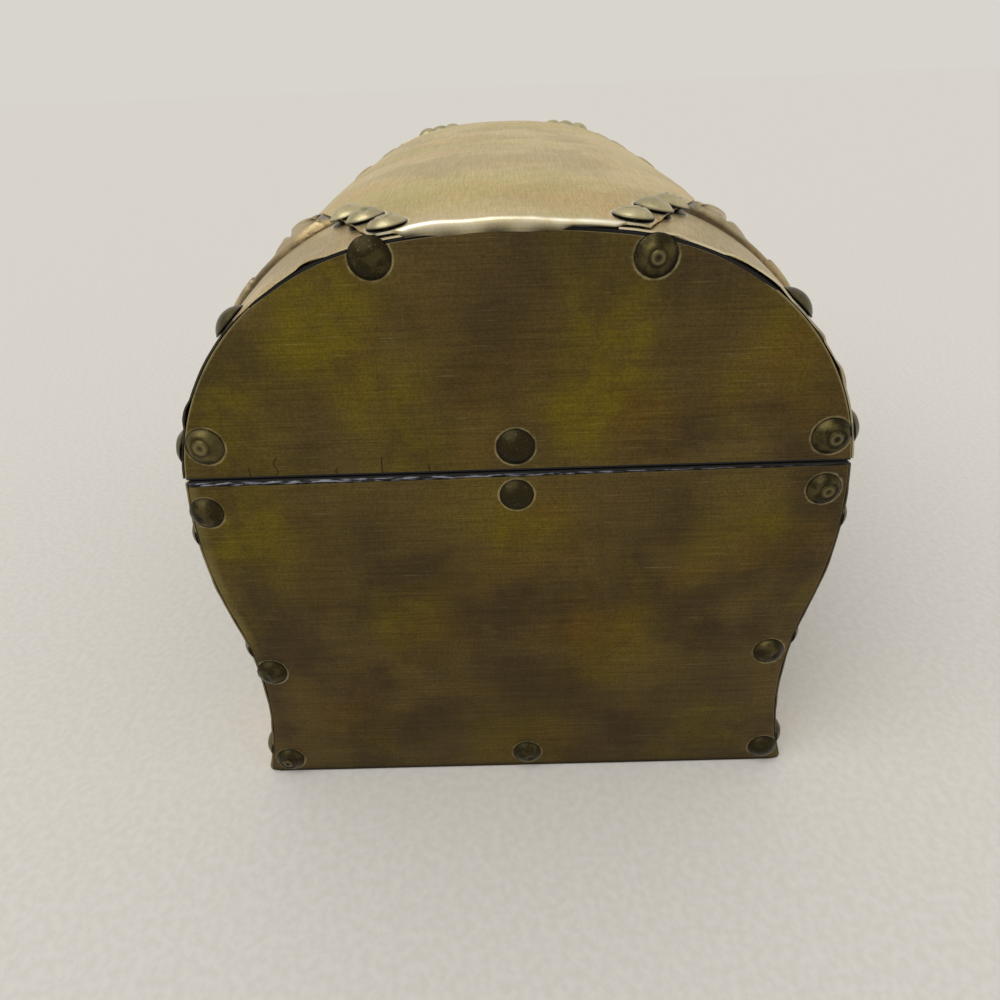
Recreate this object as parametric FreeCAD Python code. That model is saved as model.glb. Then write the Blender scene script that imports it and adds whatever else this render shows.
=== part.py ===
import FreeCAD, Part
import math
import os

# Small domed trunk: wooden boards clad in thin brass sheet that domed nails hold down.
# X runs along the length, Y from front to back and Z up.
# The origin is the middle of the underside. The right end is at +X, the front at -Y.
# All sizes are in millimetres and angles in degrees.

Vector = FreeCAD.Vector
UP = Vector(0, 0, 1)
RIGHT_ANGLE = 90.0
FULL_TURN = 360.0

# Whole trunk
length = 330.0

# Section of the body: a bulge above a waist, two arcs of one radius
body_height = 127.0
waist_half_width = 90.6
waist_height = 40.0
bulge_depth = 8.9
bulge_height = 108.0
foot_corner_radius = 3.0

# Section of the lid: a flat crown arc between two shoulder arcs. The flatness is how far
# the crown's middle lies over the tops of the shoulder circles. The camber raises the section
# quickly behind each end and little along the middle.
lid_gap = 0.6
lid_overhang = 0.4
crown_rise = 68.7
crown_flatness = 1.6
shoulder_drop = 10.3
lid_camber = 6.0
camber_power = 4
camber_place_shares = (-1.0, -0.86, -0.66, -0.36, 0.0, 0.36, 0.66, 0.86, 1.0)

# Boards
end_board_thickness = 8.0
side_board_thickness = 8.0
floor_board_thickness = 8.0
stave_half_width = 38.0

# Lining sheets inside
lining_thickness = 1.0
lining_rim_step = 1.2

# Sheet metal and the play under each layer
sheet_thickness = 0.5
layer_play = 0.15
plate_inset = 0.8
sheet_floor_clearance = 0.6
sheet_end_reach = 0.4
band_width = 30.0
band_joint = 0.3

# Crown sheet: its edges are arcs in plan, and its ends bend down over the end plates
crown_sheet_middle_half_width = 74.0
crown_sheet_end_half_width = 35.0
crown_sheet_tuck = 7.0
crown_sheet_lift = 0.7
crown_lip_half_width = 28.5
crown_lip_overlap = 0.5
crown_lip_play = 0.1

# Raised ridges and lobes of the side panels
ridge_relief = 2.2
ridge_width = 3.6
ridge_end_margin = 6.0
ridge_fitting_margin = 1.0
lid_lobe_length = 30.0
lid_lobe_gap = 7.0
lid_lobe_width = 13.0
lid_lobe_step = 10.5
lid_lobe_relief = 4.0
body_boss_count = 3
body_boss_length = 56.0
body_boss_height = 30.0
body_ridge_low = 12.0
body_ridge_latch_margin = 10.5
body_ridge_pitch = 7.0

# Domed nails
lid_nail_diameter = 11.4
body_nail_diameter = 10.4
crown_nail_diameter = 11.0
nail_dome_share = 0.26
nail_shank_diameter = 2.0
nail_shank_length = 5.0

# Nails on each end plate: places as shares of the half width and of the height there
lid_nail_shares = ((-0.366, 0.912), (0.376, 0.885), (-0.915, 0.16), (0.0, 0.115), (0.925, 0.12))
body_nail_shares = (
    (-0.955, 0.915), (0.0, 0.94), (0.93, 0.932),
    (-0.955, 0.4), (0.93, 0.43),
    (-0.93, 0.055), (0.015, 0.06), (0.945, 0.06))

# Nails along the edges of the side bands and of the crown sheet
band_nail_inset = 4.6
lid_band_nail_heights = (9.5, 46.0)
body_band_nail_heights = (12.0, 60.0, 107.0)
crown_nail_inset = 5.5
crown_nail_end_margin = 5.6
crown_nail_pitch = 10.8
crown_nail_drift = 1.9
crown_nails_per_corner = 3

# Hinges on the back
hinge_place_share = 0.56
hinge_width = 42.0
hinge_leaf_reach = 20.0
hinge_leaf_thickness = 1.2
hinge_pin_radius = 1.2
hinge_bore_play = 0.05
hinge_knuckle_radius = 2.6
hinge_knuckle_gap = 0.3
hinge_skin_clearance = 0.35
hinge_knuckle_share = 0.36
hinge_pin_head_radius = 2.0
hinge_pin_head_length = 0.8
hinge_screw_diameter = 5.0
hinge_screw_shank_diameter = 1.8
hinge_screw_spread_share = 0.3

# Swinging hook latch on the front
latch_pivot_drop = 22.0
latch_stud_rise = 13.0
latch_rosette_diameter = 21.0
latch_rosette_thickness = 0.8
latch_post_radius = 1.8
latch_post_head_radius = 4.0
latch_post_head_length = 1.4
latch_post_shank = 6.0
latch_play = 0.05
latch_face_gap = 0.4
hook_thickness = 1.6
hook_eye_radius = 5.0
hook_arm_width = 4.4
hook_tip_radius = 5.4
hook_notch_play = 0.35
hook_notch_turn = 24.0

# One overrun serves every cut
overrun = 2.0
lid_base = body_height + lid_gap
half_length = length / 2
skin_outer = layer_play + sheet_thickness
crown_inner = skin_outer + layer_play + crown_sheet_lift
crown_outer = crown_inner + sheet_thickness
bulge_half_width = waist_half_width + bulge_depth
trunk_reach = bulge_half_width + crown_rise
latch_pivot_height = body_height - latch_pivot_drop
panel_reach = half_length - band_width - band_joint

# Circles of the body's section
sway_rise = bulge_height - waist_height
sway_radius = (bulge_depth ** 2 + sway_rise ** 2) / (4 * bulge_depth)
bulge_centre_y = bulge_half_width - sway_radius
waist_centre_y = waist_half_width + sway_radius
rim_half_width = bulge_centre_y + math.sqrt(sway_radius ** 2 - (body_height - bulge_height) ** 2)

# Circles of the lid's section, measured from the lid's base
lid_half_width = rim_half_width + lid_overhang
shoulder_radius = crown_rise + shoulder_drop - crown_flatness
shoulder_centre_y = lid_half_width - math.sqrt(shoulder_radius ** 2 - shoulder_drop ** 2)
crown_height_over_centre = crown_rise + shoulder_drop
crown_radius = (crown_height_over_centre ** 2 + shoulder_centre_y ** 2 - shoulder_radius ** 2) / (
    2 * crown_flatness)
crown_centre_z = crown_rise - crown_radius
loft_half_length = half_length + overrun

# Plan arc of the crown sheet's edges
crown_sheet_bow = crown_sheet_middle_half_width - crown_sheet_end_half_width
crown_sheet_arc_radius = (half_length ** 2 + crown_sheet_bow ** 2) / (2 * crown_sheet_bow)


def write(name, shape):
    """Write one node, checked to be made of sound solids."""
    if not shape.isValid() or not shape.Solids:
        raise ValueError(name + " is not a sound solid")
    shape.exportStep("parts/" + name + ".step")


def block(low, high):
    """A box from its lowest to its highest corner."""
    size = high.sub(low)
    return Part.makeBox(size.x, size.y, size.z, low)


def side_name(sign):
    """The word for one end of the trunk."""
    return "right" if sign > 0 else "left"


def face_name(sign):
    """The word for one long side of the trunk."""
    return "back" if sign > 0 else "front"


def join(shapes):
    """One solid from shapes that touch or cross."""
    return shapes[0].fuse(shapes[1:]).removeSplitter() if len(shapes) > 1 else shapes[0]


def arc_between(centre, start, end):
    """The shorter arc about a centre between two points of its circle."""
    middle = start.sub(centre).add(end.sub(centre))
    middle.normalize()
    bulge = centre.add(middle.multiply(start.distanceToPoint(centre)))
    return Part.Arc(start, bulge, end).toShape()


def mirrored(point):
    """A point of a section on the other side of the middle."""
    return Vector(point.x, -point.y, point.z)


# Section of the body

def body_half_width(height, offset):
    """Half width of the body's section at a height, grown outwards by an offset."""
    if height >= (bulge_height + waist_height) / 2:
        reach = math.sqrt((sway_radius + offset) ** 2 - (height - bulge_height) ** 2)
        return bulge_centre_y + reach
    reach = math.sqrt((sway_radius - offset) ** 2 - (height - waist_height) ** 2)
    return waist_centre_y - reach


def body_normal(height):
    """Outward direction of the body's back at a height."""
    if height >= (bulge_height + waist_height) / 2:
        rise = (height - bulge_height) / sway_radius
    else:
        rise = (waist_height - height) / sway_radius
    return Vector(0, math.sqrt(1 - rise ** 2), rise)


def body_outline(offset, low, high):
    """Closed section of the body between two heights, with rounded foot corners."""
    bulge_centre = Vector(0, bulge_centre_y, bulge_height)
    waist_centre = Vector(0, waist_centre_y, waist_height)
    between = waist_centre.sub(bulge_centre)
    between.normalize()
    meeting = bulge_centre.add(between.multiply(sway_radius + offset))
    waist_radius = sway_radius - offset
    corner_z = low + foot_corner_radius
    reach = math.sqrt((waist_radius + foot_corner_radius) ** 2 - (waist_height - corner_z) ** 2)
    corner_centre = Vector(0, waist_centre_y - reach, corner_z)
    outward = waist_centre.sub(corner_centre)
    outward.normalize()
    on_waist = corner_centre.add(outward.multiply(foot_corner_radius))
    on_floor = Vector(0, corner_centre.y, low)
    rim = Vector(0, body_half_width(high, offset), high)
    arcs = ((corner_centre, on_floor, on_waist), (waist_centre, on_waist, meeting),
            (bulge_centre, meeting, rim))
    edges = [arc_between(*arc) for arc in arcs]
    edges.append(Part.makeLine(rim, mirrored(rim)))
    for centre, start, end in reversed(arcs):
        edges.append(arc_between(mirrored(centre), mirrored(end), mirrored(start)))
    edges.append(Part.makeLine(mirrored(on_floor), on_floor))
    return Part.Wire(edges)


def body_solid(offset, low, high, start_x, end_x):
    """The body's section drawn out along the length."""
    face = Part.Face(body_outline(offset, low, high))
    face.translate(Vector(start_x, 0, 0))
    return face.extrude(Vector(end_x - start_x, 0, 0))


def body_side_arcs(offset):
    """The two arcs of the back's section, from under the floor to over the rim."""
    bulge_centre = Vector(0, bulge_centre_y, bulge_height)
    waist_centre = Vector(0, waist_centre_y, waist_height)
    between = waist_centre.sub(bulge_centre)
    between.normalize()
    meeting = bulge_centre.add(between.multiply(sway_radius + offset))
    low = Vector(0, body_half_width(-overrun, offset), -overrun)
    high = Vector(0, body_half_width(body_height + overrun, offset), body_height + overrun)
    return (waist_centre, low, meeting), (bulge_centre, meeting, high)


def body_shell(inner, outer, low, high, start_x, end_x, sign):
    """One long side of a layer that follows the body's section."""
    outside = body_side_arcs(outer)
    inside = body_side_arcs(inner)
    edges = [arc_between(*arc) for arc in outside]
    edges.append(Part.makeLine(outside[-1][-1], inside[-1][-1]))
    for centre, start, end in reversed(inside):
        edges.append(arc_between(centre, end, start))
    edges.append(Part.makeLine(inside[0][1], outside[0][1]))
    face = Part.Face(Part.Wire(edges))
    face.translate(Vector(start_x, 0, 0))
    layer = face.extrude(Vector(end_x - start_x, 0, 0))
    if sign < 0:
        layer = layer.mirror(Vector(0, 0, 0), Vector(0, 1, 0))
    side = block(Vector(start_x, -trunk_reach, low), Vector(end_x, trunk_reach, high))
    return layer.common(side)


# Section of the lid

def camber_at(x):
    """How far the lid's section is raised at a place along the length."""
    return lid_camber * (1 - (x / loft_half_length) ** camber_power)


def lid_arcs(offset, shift, base):
    """Centre, start and end of the arcs of the lid's section, from one base corner over the top."""
    centre = Vector(0, shoulder_centre_y, lid_base - shoulder_drop + shift)
    crown_centre = Vector(0, 0, lid_base + crown_centre_z + shift)
    rise = base - centre.z
    reach = math.sqrt((shoulder_radius + offset) ** 2 - rise ** 2)
    corner = Vector(0, shoulder_centre_y + reach, base)
    outward = centre.sub(crown_centre)
    outward.normalize()
    meeting = crown_centre.add(outward.multiply(crown_radius + offset))
    return ((centre, corner, meeting), (crown_centre, meeting, mirrored(meeting)),
            (mirrored(centre), mirrored(meeting), mirrored(corner)))


def lid_outline(offset, shift, base, x):
    """Closed section of the lid at a place along the length."""
    arcs = lid_arcs(offset, shift, base)
    edges = [arc_between(*arc) for arc in arcs]
    edges.append(Part.makeLine(arcs[-1][-1], arcs[0][1]))
    outline = Part.Wire(edges)
    outline.translate(Vector(x, 0, 0))
    return outline


def lid_shell_outline(inner, outer, base, x):
    """Closed section of one layer of the lid at a place along the length."""
    shift = camber_at(x)
    outside = lid_arcs(outer, shift, base)
    inside = lid_arcs(inner, shift, base)
    edges = [arc_between(*arc) for arc in outside]
    edges.append(Part.makeLine(outside[-1][-1], inside[-1][-1]))
    for centre, start, end in reversed(inside):
        edges.append(arc_between(centre, end, start))
    edges.append(Part.makeLine(inside[0][1], outside[0][1]))
    outline = Part.Wire(edges)
    outline.translate(Vector(x, 0, 0))
    return outline


def loft_places():
    """The places along the length that a cambered layer passes through."""
    return [share * loft_half_length for share in camber_place_shares]


def lid_solid(offset, base):
    """The cambered lid as one block, grown outwards by an offset."""
    low = base - overrun
    sections = [lid_outline(offset, camber_at(x), low, x) for x in loft_places()]
    return Part.makeLoft(sections, True)


def lid_shell(inner, outer, base):
    """A cambered layer that goes over the whole lid."""
    low = base - overrun
    sections = [lid_shell_outline(inner, outer, low, x) for x in loft_places()]
    return Part.makeLoft(sections, True)


def lid_hollow(offset, base, start_x, end_x):
    """A straight block with the lid's section, as the inside of the lid has."""
    face = Part.Face(lid_outline(offset, 0, base, start_x))
    return face.extrude(Vector(end_x - start_x, 0, 0))


def lid_room(start_x, end_x, start_y, end_y, base):
    """The space that one piece of the lid is cut to."""
    top = lid_base + crown_rise + lid_camber + overrun
    return block(Vector(start_x, start_y, base), Vector(end_x, end_y, top))


def crown_plan(step):
    """Upright block whose plan is the crown sheet grown sideways by a step."""
    radius = crown_sheet_arc_radius + step
    centre_y = crown_sheet_arc_radius - crown_sheet_middle_half_width
    tall = crown_rise + lid_camber + overrun + overrun
    discs = []
    for sign in (-1, 1):
        centre = Vector(0, sign * centre_y, lid_base - overrun)
        discs.append(Part.makeCylinder(radius, tall, centre, UP))
    return discs[0].common(discs[1])


def crown_edge_y(x, step):
    """Half width of the crown sheet, grown by a step, at a place along the length."""
    radius = crown_sheet_arc_radius + step
    return math.sqrt(radius ** 2 - x ** 2) - (crown_sheet_arc_radius - crown_sheet_middle_half_width)


def lid_surface(x, y, offset):
    """Point on a layer of the lid over a place in plan, and the direction out of it."""
    shift = camber_at(x)
    crown_centre = Vector(x, 0, lid_base + crown_centre_z + shift)
    centre = Vector(x, math.copysign(shoulder_centre_y, y), lid_base - shoulder_drop + shift)
    tangent_y = shoulder_centre_y * (crown_radius + offset) / (crown_radius - shoulder_radius)
    radius = crown_radius + offset
    if abs(y) > tangent_y:
        crown_centre = centre
        radius = shoulder_radius + offset
    rise = math.sqrt(radius ** 2 - (y - crown_centre.y) ** 2)
    point = Vector(x, y, crown_centre.z + rise)
    outward = point.sub(crown_centre)
    outward.normalize()
    return point, outward


def lid_side(x, height, offset, sign):
    """Point on a layer of the lid's side at a height over its base, and the direction out of it."""
    shift = camber_at(x)
    centre = Vector(x, sign * shoulder_centre_y, lid_base - shoulder_drop + shift)
    rise = lid_base + height - centre.z
    reach = math.sqrt((shoulder_radius + offset) ** 2 - rise ** 2)
    point = Vector(x, centre.y + sign * reach, lid_base + height)
    outward = point.sub(centre)
    outward.normalize()
    return point, outward


# Nails and screws

def dome_nail(diameter, shank_diameter, shank_length):
    """A nail with a domed head, its head's flat underside at the origin and the dome up."""
    rise = diameter * nail_dome_share
    radius = (diameter ** 2 / 4 + rise ** 2) / (2 * rise)
    sink = radius - rise
    latitude = math.degrees(math.asin(sink / radius))
    head = Part.makeSphere(radius, Vector(0, 0, -sink), UP, latitude, RIGHT_ANGLE, FULL_TURN)
    shank = Part.makeCylinder(shank_diameter / 2, shank_length, Vector(0, 0, -shank_length), UP)
    return head.fuse(shank)


def driven(template, point, outward):
    """A copy of a nail driven in at a point, its head facing outward."""
    nail = template.copy()
    nail.Placement = FreeCAD.Placement(point, FreeCAD.Rotation(UP, outward))
    return nail


# Pieces of the body

def make_body_boards():
    """Five boards: two ends with the full section, two curved sides and a floor."""
    inner_x = half_length - end_board_thickness
    for sign in (-1, 1):
        start = min(sign * inner_x, sign * half_length)
        end_board = body_solid(0, 0, body_height, start, start + end_board_thickness)
        write("body_" + side_name(sign) + "_board", end_board)
        side = body_shell(-side_board_thickness, 0, 0, body_height, -inner_x, inner_x, sign)
        write("body_" + face_name(sign) + "_board", side)
    floor_offset = -side_board_thickness - layer_play
    floor = body_solid(floor_offset, 0, body_height, -inner_x, inner_x)
    room = block(Vector(-inner_x, -trunk_reach, 0), Vector(inner_x, trunk_reach, floor_board_thickness))
    write("body_floor_board", floor.common(room))


def make_body_linings():
    """Five thin lining sheets, each against its board."""
    outer = -side_board_thickness - layer_play
    inner = outer - lining_thickness
    wall_x = half_length - end_board_thickness
    side_x = wall_x - lining_thickness
    low = floor_board_thickness + lining_thickness
    high = body_height - lining_rim_step
    for sign in (-1, 1):
        start = min(sign * wall_x, sign * side_x)
        whole = body_solid(outer, low - floor_board_thickness, high, start, start + lining_thickness)
        room = block(Vector(start, -trunk_reach, low), Vector(start + lining_thickness, trunk_reach, high))
        write("body_" + side_name(sign) + "_lining", whole.common(room))
        side = body_shell(inner, outer, low, high, -side_x, side_x, sign)
        write("body_" + face_name(sign) + "_lining", side)
    whole = body_solid(outer, 0, high, -wall_x, wall_x)
    room = block(Vector(-wall_x, -trunk_reach, floor_board_thickness), Vector(wall_x, trunk_reach, low))
    write("body_floor_lining", whole.common(room))


def make_body_plates():
    """Two flat plates on the ends, a little smaller than the boards behind them."""
    for sign in (-1, 1):
        start = half_length if sign > 0 else -half_length - sheet_thickness
        plate = body_solid(-plate_inset, plate_inset, body_height - plate_inset,
                           start, start + sheet_thickness)
        write("body_" + side_name(sign) + "_plate", plate)


def body_ridge_heights():
    """Heights of the ridges' lower edges, two along the bottom and two along the top."""
    top = latch_pivot_height - latch_rosette_diameter / 2 - body_ridge_latch_margin - ridge_width
    return [body_ridge_low, body_ridge_low + body_ridge_pitch, top - body_ridge_pitch, top]


def make_body_panels():
    """Two embossed panels on the long sides, with raised ridges along their length."""
    ridge_reach = panel_reach - ridge_end_margin
    boss_pitch = (panel_reach + panel_reach) / body_boss_count
    for sign in (-1, 1):
        panel = body_shell(layer_play, skin_outer, sheet_floor_clearance,
                           body_height - sheet_floor_clearance, -panel_reach, panel_reach, sign)
        ridges = []
        for low in body_ridge_heights():
            ridges.append(body_shell(layer_play, skin_outer + ridge_relief, low, low + ridge_width,
                                     -ridge_reach, ridge_reach, sign))
        relief = body_shell(layer_play, skin_outer + ridge_relief, 0, body_height,
                            -panel_reach, panel_reach, sign)
        bosses = [relief.common(body_boss(boss_pitch * (number - (body_boss_count - 1) / 2)))
                  for number in range(body_boss_count)]
        write("body_" + face_name(sign) + "_panel", join([panel] + ridges + bosses))


def body_boss(x):
    """A block across the body with an oval outline, halfway between the two pairs of ridges."""
    lows = body_ridge_heights()
    middle = (lows[0] + lows[-1] + ridge_width) / 2
    oval = upright_oval(body_boss_length / 2, body_boss_height / 2, trunk_reach + trunk_reach)
    oval.rotate(Vector(0, 0, 0), Vector(1, 0, 0), RIGHT_ANGLE)
    oval.translate(Vector(x, trunk_reach, middle))
    return oval


def make_body_bands():
    """Four plain bands that wrap the long sides beside the ends."""
    for end in (-1, 1):
        inside = end * (half_length - band_width)
        outside = end * (half_length + sheet_end_reach)
        for sign in (-1, 1):
            band = body_shell(layer_play, skin_outer, sheet_floor_clearance,
                              body_height - sheet_floor_clearance,
                              min(inside, outside), max(inside, outside), sign)
            write("body_" + face_name(sign) + "_" + side_name(end) + "_band", band)


def make_body_nails():
    """Eight nails on each end plate, and three in each band."""
    template = dome_nail(body_nail_diameter, nail_shank_diameter, nail_shank_length)
    for end in (-1, 1):
        nails = []
        for side_share, height_share in body_nail_shares:
            height = height_share * body_height
            y = end * side_share * body_half_width(height, 0)
            point = Vector(end * (half_length + sheet_thickness), y, height)
            nails.append(driven(template, point, Vector(end, 0, 0)))
        write("body_" + side_name(end) + "_nails", Part.makeCompound(nails))
    for sign in (-1, 1):
        nails = []
        for end in (-1, 1):
            for height in body_band_nail_heights:
                x = end * (half_length - band_nail_inset)
                outward = body_normal(height)
                point = Vector(x, sign * body_half_width(height, skin_outer), height)
                nails.append(driven(template, point, Vector(0, sign * outward.y, outward.z)))
        write("body_" + face_name(sign) + "_nails", Part.makeCompound(nails))


# Pieces of the lid

def make_lid_boards():
    """Two end boards and three staves, cambered outside and straight inside."""
    inner_x = half_length - end_board_thickness
    lid = lid_solid(0, lid_base)
    for sign in (-1, 1):
        start = min(sign * inner_x, sign * half_length)
        room = lid_room(start, start + end_board_thickness, -trunk_reach, trunk_reach, lid_base)
        write("lid_" + side_name(sign) + "_board", lid.common(room))
    hollow = lid_hollow(-side_board_thickness, lid_base - overrun, -half_length, half_length)
    arch = lid.cut(hollow)
    staves = (("front", -trunk_reach, -stave_half_width), ("crown", -stave_half_width, stave_half_width),
              ("back", stave_half_width, trunk_reach))
    for name, start_y, end_y in staves:
        stave = arch.common(lid_room(-inner_x, inner_x, start_y, end_y, lid_base))
        write("lid_" + name + "_stave", stave)


def make_lid_linings():
    """One lining sheet under the staves and one on each end board."""
    outer = -side_board_thickness - layer_play
    wall_x = half_length - end_board_thickness
    side_x = wall_x - lining_thickness
    low = lid_base + lining_rim_step
    for sign in (-1, 1):
        start = min(sign * wall_x, sign * side_x)
        sheet = lid_hollow(outer, low, start, start + lining_thickness)
        write("lid_" + side_name(sign) + "_lining", sheet)
    whole = lid_hollow(outer, low, -side_x, side_x)
    hollow = lid_hollow(outer - lining_thickness, low - overrun, -wall_x, wall_x)
    write("lid_arch_lining", whole.cut(hollow))


def make_lid_plates():
    """Two flat plates on the lid's ends."""
    for sign in (-1, 1):
        start = half_length if sign > 0 else -half_length - sheet_thickness
        plate = lid_hollow(-plate_inset, lid_base + plate_inset, start, start + sheet_thickness)
        write("lid_" + side_name(sign) + "_plate", plate)


def make_crown_sheet():
    """The plain sheet over the crown, the middle of its ends bent down over the end plates."""
    fold_x = half_length + sheet_thickness + crown_lip_play
    end_x = fold_x + sheet_thickness
    edge_x = half_length + sheet_end_reach
    layer = lid_shell(crown_inner, crown_outer, lid_base)
    flat = layer.common(lid_room(-edge_x, edge_x, -trunk_reach, trunk_reach, lid_base))
    top = layer.common(lid_room(-end_x, end_x, -crown_lip_half_width, crown_lip_half_width, lid_base))
    deep = lid_shell(-plate_inset - crown_lip_overlap, crown_outer, lid_base)
    lips = [deep.common(lid_room(min(sign * fold_x, sign * end_x), max(sign * fold_x, sign * end_x),
                                 -crown_lip_half_width, crown_lip_half_width, lid_base))
            for sign in (-1, 1)]
    write("lid_crown_sheet", join([flat.common(crown_plan(0)), top] + lips))


def lid_border_height():
    """Lower edge of the ridge along the lid's base, clear of the hinge leaves and the rosette."""
    hinge_top = hinge_axis().z + hinge_knuckle_radius + hinge_knuckle_gap + hinge_leaf_reach
    rosette_top = lid_base + latch_stud_rise + latch_rosette_diameter / 2
    return max(hinge_top, rosette_top) + ridge_fitting_margin


def lid_panel_room(start_x, end_x, sign):
    """The space on one side of the crown sheet, reaching a little under its edge."""
    near = 0 if sign > 0 else -trunk_reach
    room = lid_room(start_x, end_x, near, near + trunk_reach, lid_base + sheet_floor_clearance)
    return room.cut(crown_plan(-crown_sheet_tuck))


def lid_lobe_places():
    """Places along the length of as many lobes as the panel has room for."""
    span = (panel_reach - ridge_end_margin) * 2
    count = int((span + lid_lobe_gap) / (lid_lobe_length + lid_lobe_gap))
    step = (span - lid_lobe_length) / (count - 1)
    return [(number - (count - 1) / 2) * step for number in range(count)]


def lid_lobe(x, sign):
    """Upright block whose plan is one lobe, beside the crown sheet and in line with its edge."""
    lobe = upright_oval(lid_lobe_length / 2, lid_lobe_width / 2, crown_rise + lid_camber + overrun)
    slope = math.degrees(math.asin(x / crown_sheet_arc_radius))
    lobe.rotate(Vector(0, 0, 0), UP, -sign * slope)
    lobe.translate(Vector(x, sign * crown_edge_y(x, lid_lobe_step), lid_base))
    return lobe


def upright_oval(half_long, half_wide, tall):
    """A block along Z with an oval plan, longer along X."""
    curve = Part.Ellipse(Vector(0, 0, 0), half_long, half_wide)
    return Part.Face(Part.Wire([curve.toShape()])).extrude(Vector(0, 0, tall))


def make_lid_panels():
    """Two embossed side panels: lobes along the crown sheet, and a ridge along the base."""
    ridge_reach = panel_reach - ridge_end_margin
    skin = lid_shell(layer_play, skin_outer, lid_base)
    relief = lid_shell(layer_play, skin_outer + ridge_relief, lid_base)
    lobe_relief = lid_shell(layer_play, skin_outer + lid_lobe_relief, lid_base)
    border_low = lid_border_height()
    for sign in (-1, 1):
        pieces = [skin.common(lid_panel_room(-panel_reach, panel_reach, sign))]
        near = 0 if sign > 0 else -trunk_reach
        over_border = lid_room(-panel_reach, panel_reach, near, near + trunk_reach, border_low)
        for x in lid_lobe_places():
            pieces.append(lobe_relief.common(lid_lobe(x, sign)).common(over_border))
        border = block(Vector(-ridge_reach, near, border_low),
                       Vector(ridge_reach, near + trunk_reach, border_low + ridge_width))
        pieces.append(relief.common(border))
        write("lid_" + face_name(sign) + "_panel", join(pieces))


def make_lid_bands():
    """Four plain bands over the lid's sides beside the ends."""
    skin = lid_shell(layer_play, skin_outer, lid_base)
    for end in (-1, 1):
        inside = end * (half_length - band_width)
        outside = end * (half_length + sheet_end_reach)
        for sign in (-1, 1):
            room = lid_panel_room(min(inside, outside), max(inside, outside), sign)
            write("lid_" + face_name(sign) + "_" + side_name(end) + "_band", skin.common(room))


def make_lid_nails():
    """Five nails on each end plate and two in each band."""
    template = dome_nail(lid_nail_diameter, nail_shank_diameter, nail_shank_length)
    for end in (-1, 1):
        nails = []
        for side_share, height_share in lid_nail_shares:
            height = height_share * crown_rise
            y = end * side_share * lid_half_width
            point = Vector(end * (half_length + sheet_thickness), y, lid_base + height)
            nails.append(driven(template, point, Vector(end, 0, 0)))
        write("lid_" + side_name(end) + "_nails", Part.makeCompound(nails))
    for sign in (-1, 1):
        nails = []
        for end in (-1, 1):
            for height in lid_band_nail_heights:
                x = end * (half_length - band_nail_inset)
                point, outward = lid_side(x, height, skin_outer, sign)
                nails.append(driven(template, point, outward))
        write("lid_" + face_name(sign) + "_nails", Part.makeCompound(nails))


def make_crown_nails():
    """Short rows of nails at the crown sheet's corners, each nearer to its edge than the last."""
    template = dome_nail(crown_nail_diameter, nail_shank_diameter, nail_shank_length)
    nails = []
    for end in (-1, 1):
        for sign in (-1, 1):
            for number in range(crown_nails_per_corner):
                x = end * (half_length - crown_nail_end_margin - number * crown_nail_pitch)
                y = sign * crown_edge_y(x, number * crown_nail_drift - crown_nail_inset)
                point, outward = lid_surface(x, y, crown_outer)
                nails.append(driven(template, point, outward))
    write("lid_crown_nails", Part.makeCompound(nails))


# Hinges

def hinge_axis():
    """Place of the hinge pin's middle line at the back of the rim, with x left at zero."""
    web = hinge_knuckle_radius + hinge_knuckle_gap + hinge_leaf_thickness
    rim = max(body_half_width(body_height - web, skin_outer), lid_side(0, web, skin_outer, 1)[0].y)
    y = rim + hinge_skin_clearance + hinge_knuckle_radius
    return Vector(0, y, body_height + lid_gap / 2)


def hinge_knuckle_spans(x):
    """Spans along the length of the lid's two knuckles and of the body's one between them."""
    half = hinge_width / 2
    inner = half * hinge_knuckle_share
    lid_spans = ((x - half, x - inner - hinge_knuckle_gap), (x + inner + hinge_knuckle_gap, x + half))
    return lid_spans, ((x - inner, x + inner),)


def web_inner_face(leaf_side):
    """Distance from the middle to the web's rear face, just outside the sheet metal behind it."""
    web = hinge_knuckle_radius + hinge_knuckle_gap + hinge_leaf_thickness
    if leaf_side > 0:
        return max(lid_side(0, height, skin_outer, 1)[0].y for height in (0, web)) + layer_play
    heights = (body_height, body_height - web)
    return max(body_half_width(height, skin_outer) for height in heights) + layer_play


def knuckle(start_x, end_x, leaf_side):
    """One knuckle with the web that joins it to the edge of its leaf."""
    axis = hinge_axis()
    barrel = Part.makeCylinder(hinge_knuckle_radius, end_x - start_x,
                               Vector(start_x, axis.y, axis.z), Vector(1, 0, 0))
    outer = axis.y - hinge_knuckle_radius + hinge_leaf_thickness
    far = axis.z + leaf_side * (hinge_knuckle_radius + hinge_knuckle_gap + hinge_leaf_thickness)
    web = block(Vector(start_x, web_inner_face(leaf_side), min(axis.z, far)),
                Vector(end_x, outer, max(axis.z, far)))
    return barrel.fuse(web)


def pin_hole(start_x, end_x):
    """The running hole for the hinge pin."""
    axis = hinge_axis()
    return Part.makeCylinder(hinge_pin_radius + hinge_bore_play, end_x - start_x + overrun + overrun,
                             Vector(start_x - overrun, axis.y, axis.z), Vector(1, 0, 0))


def hinge_layer():
    """Inner and outer offsets of the hinge leaves over the sheet metal."""
    inner = skin_outer + layer_play
    return inner, inner + hinge_leaf_thickness


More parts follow.
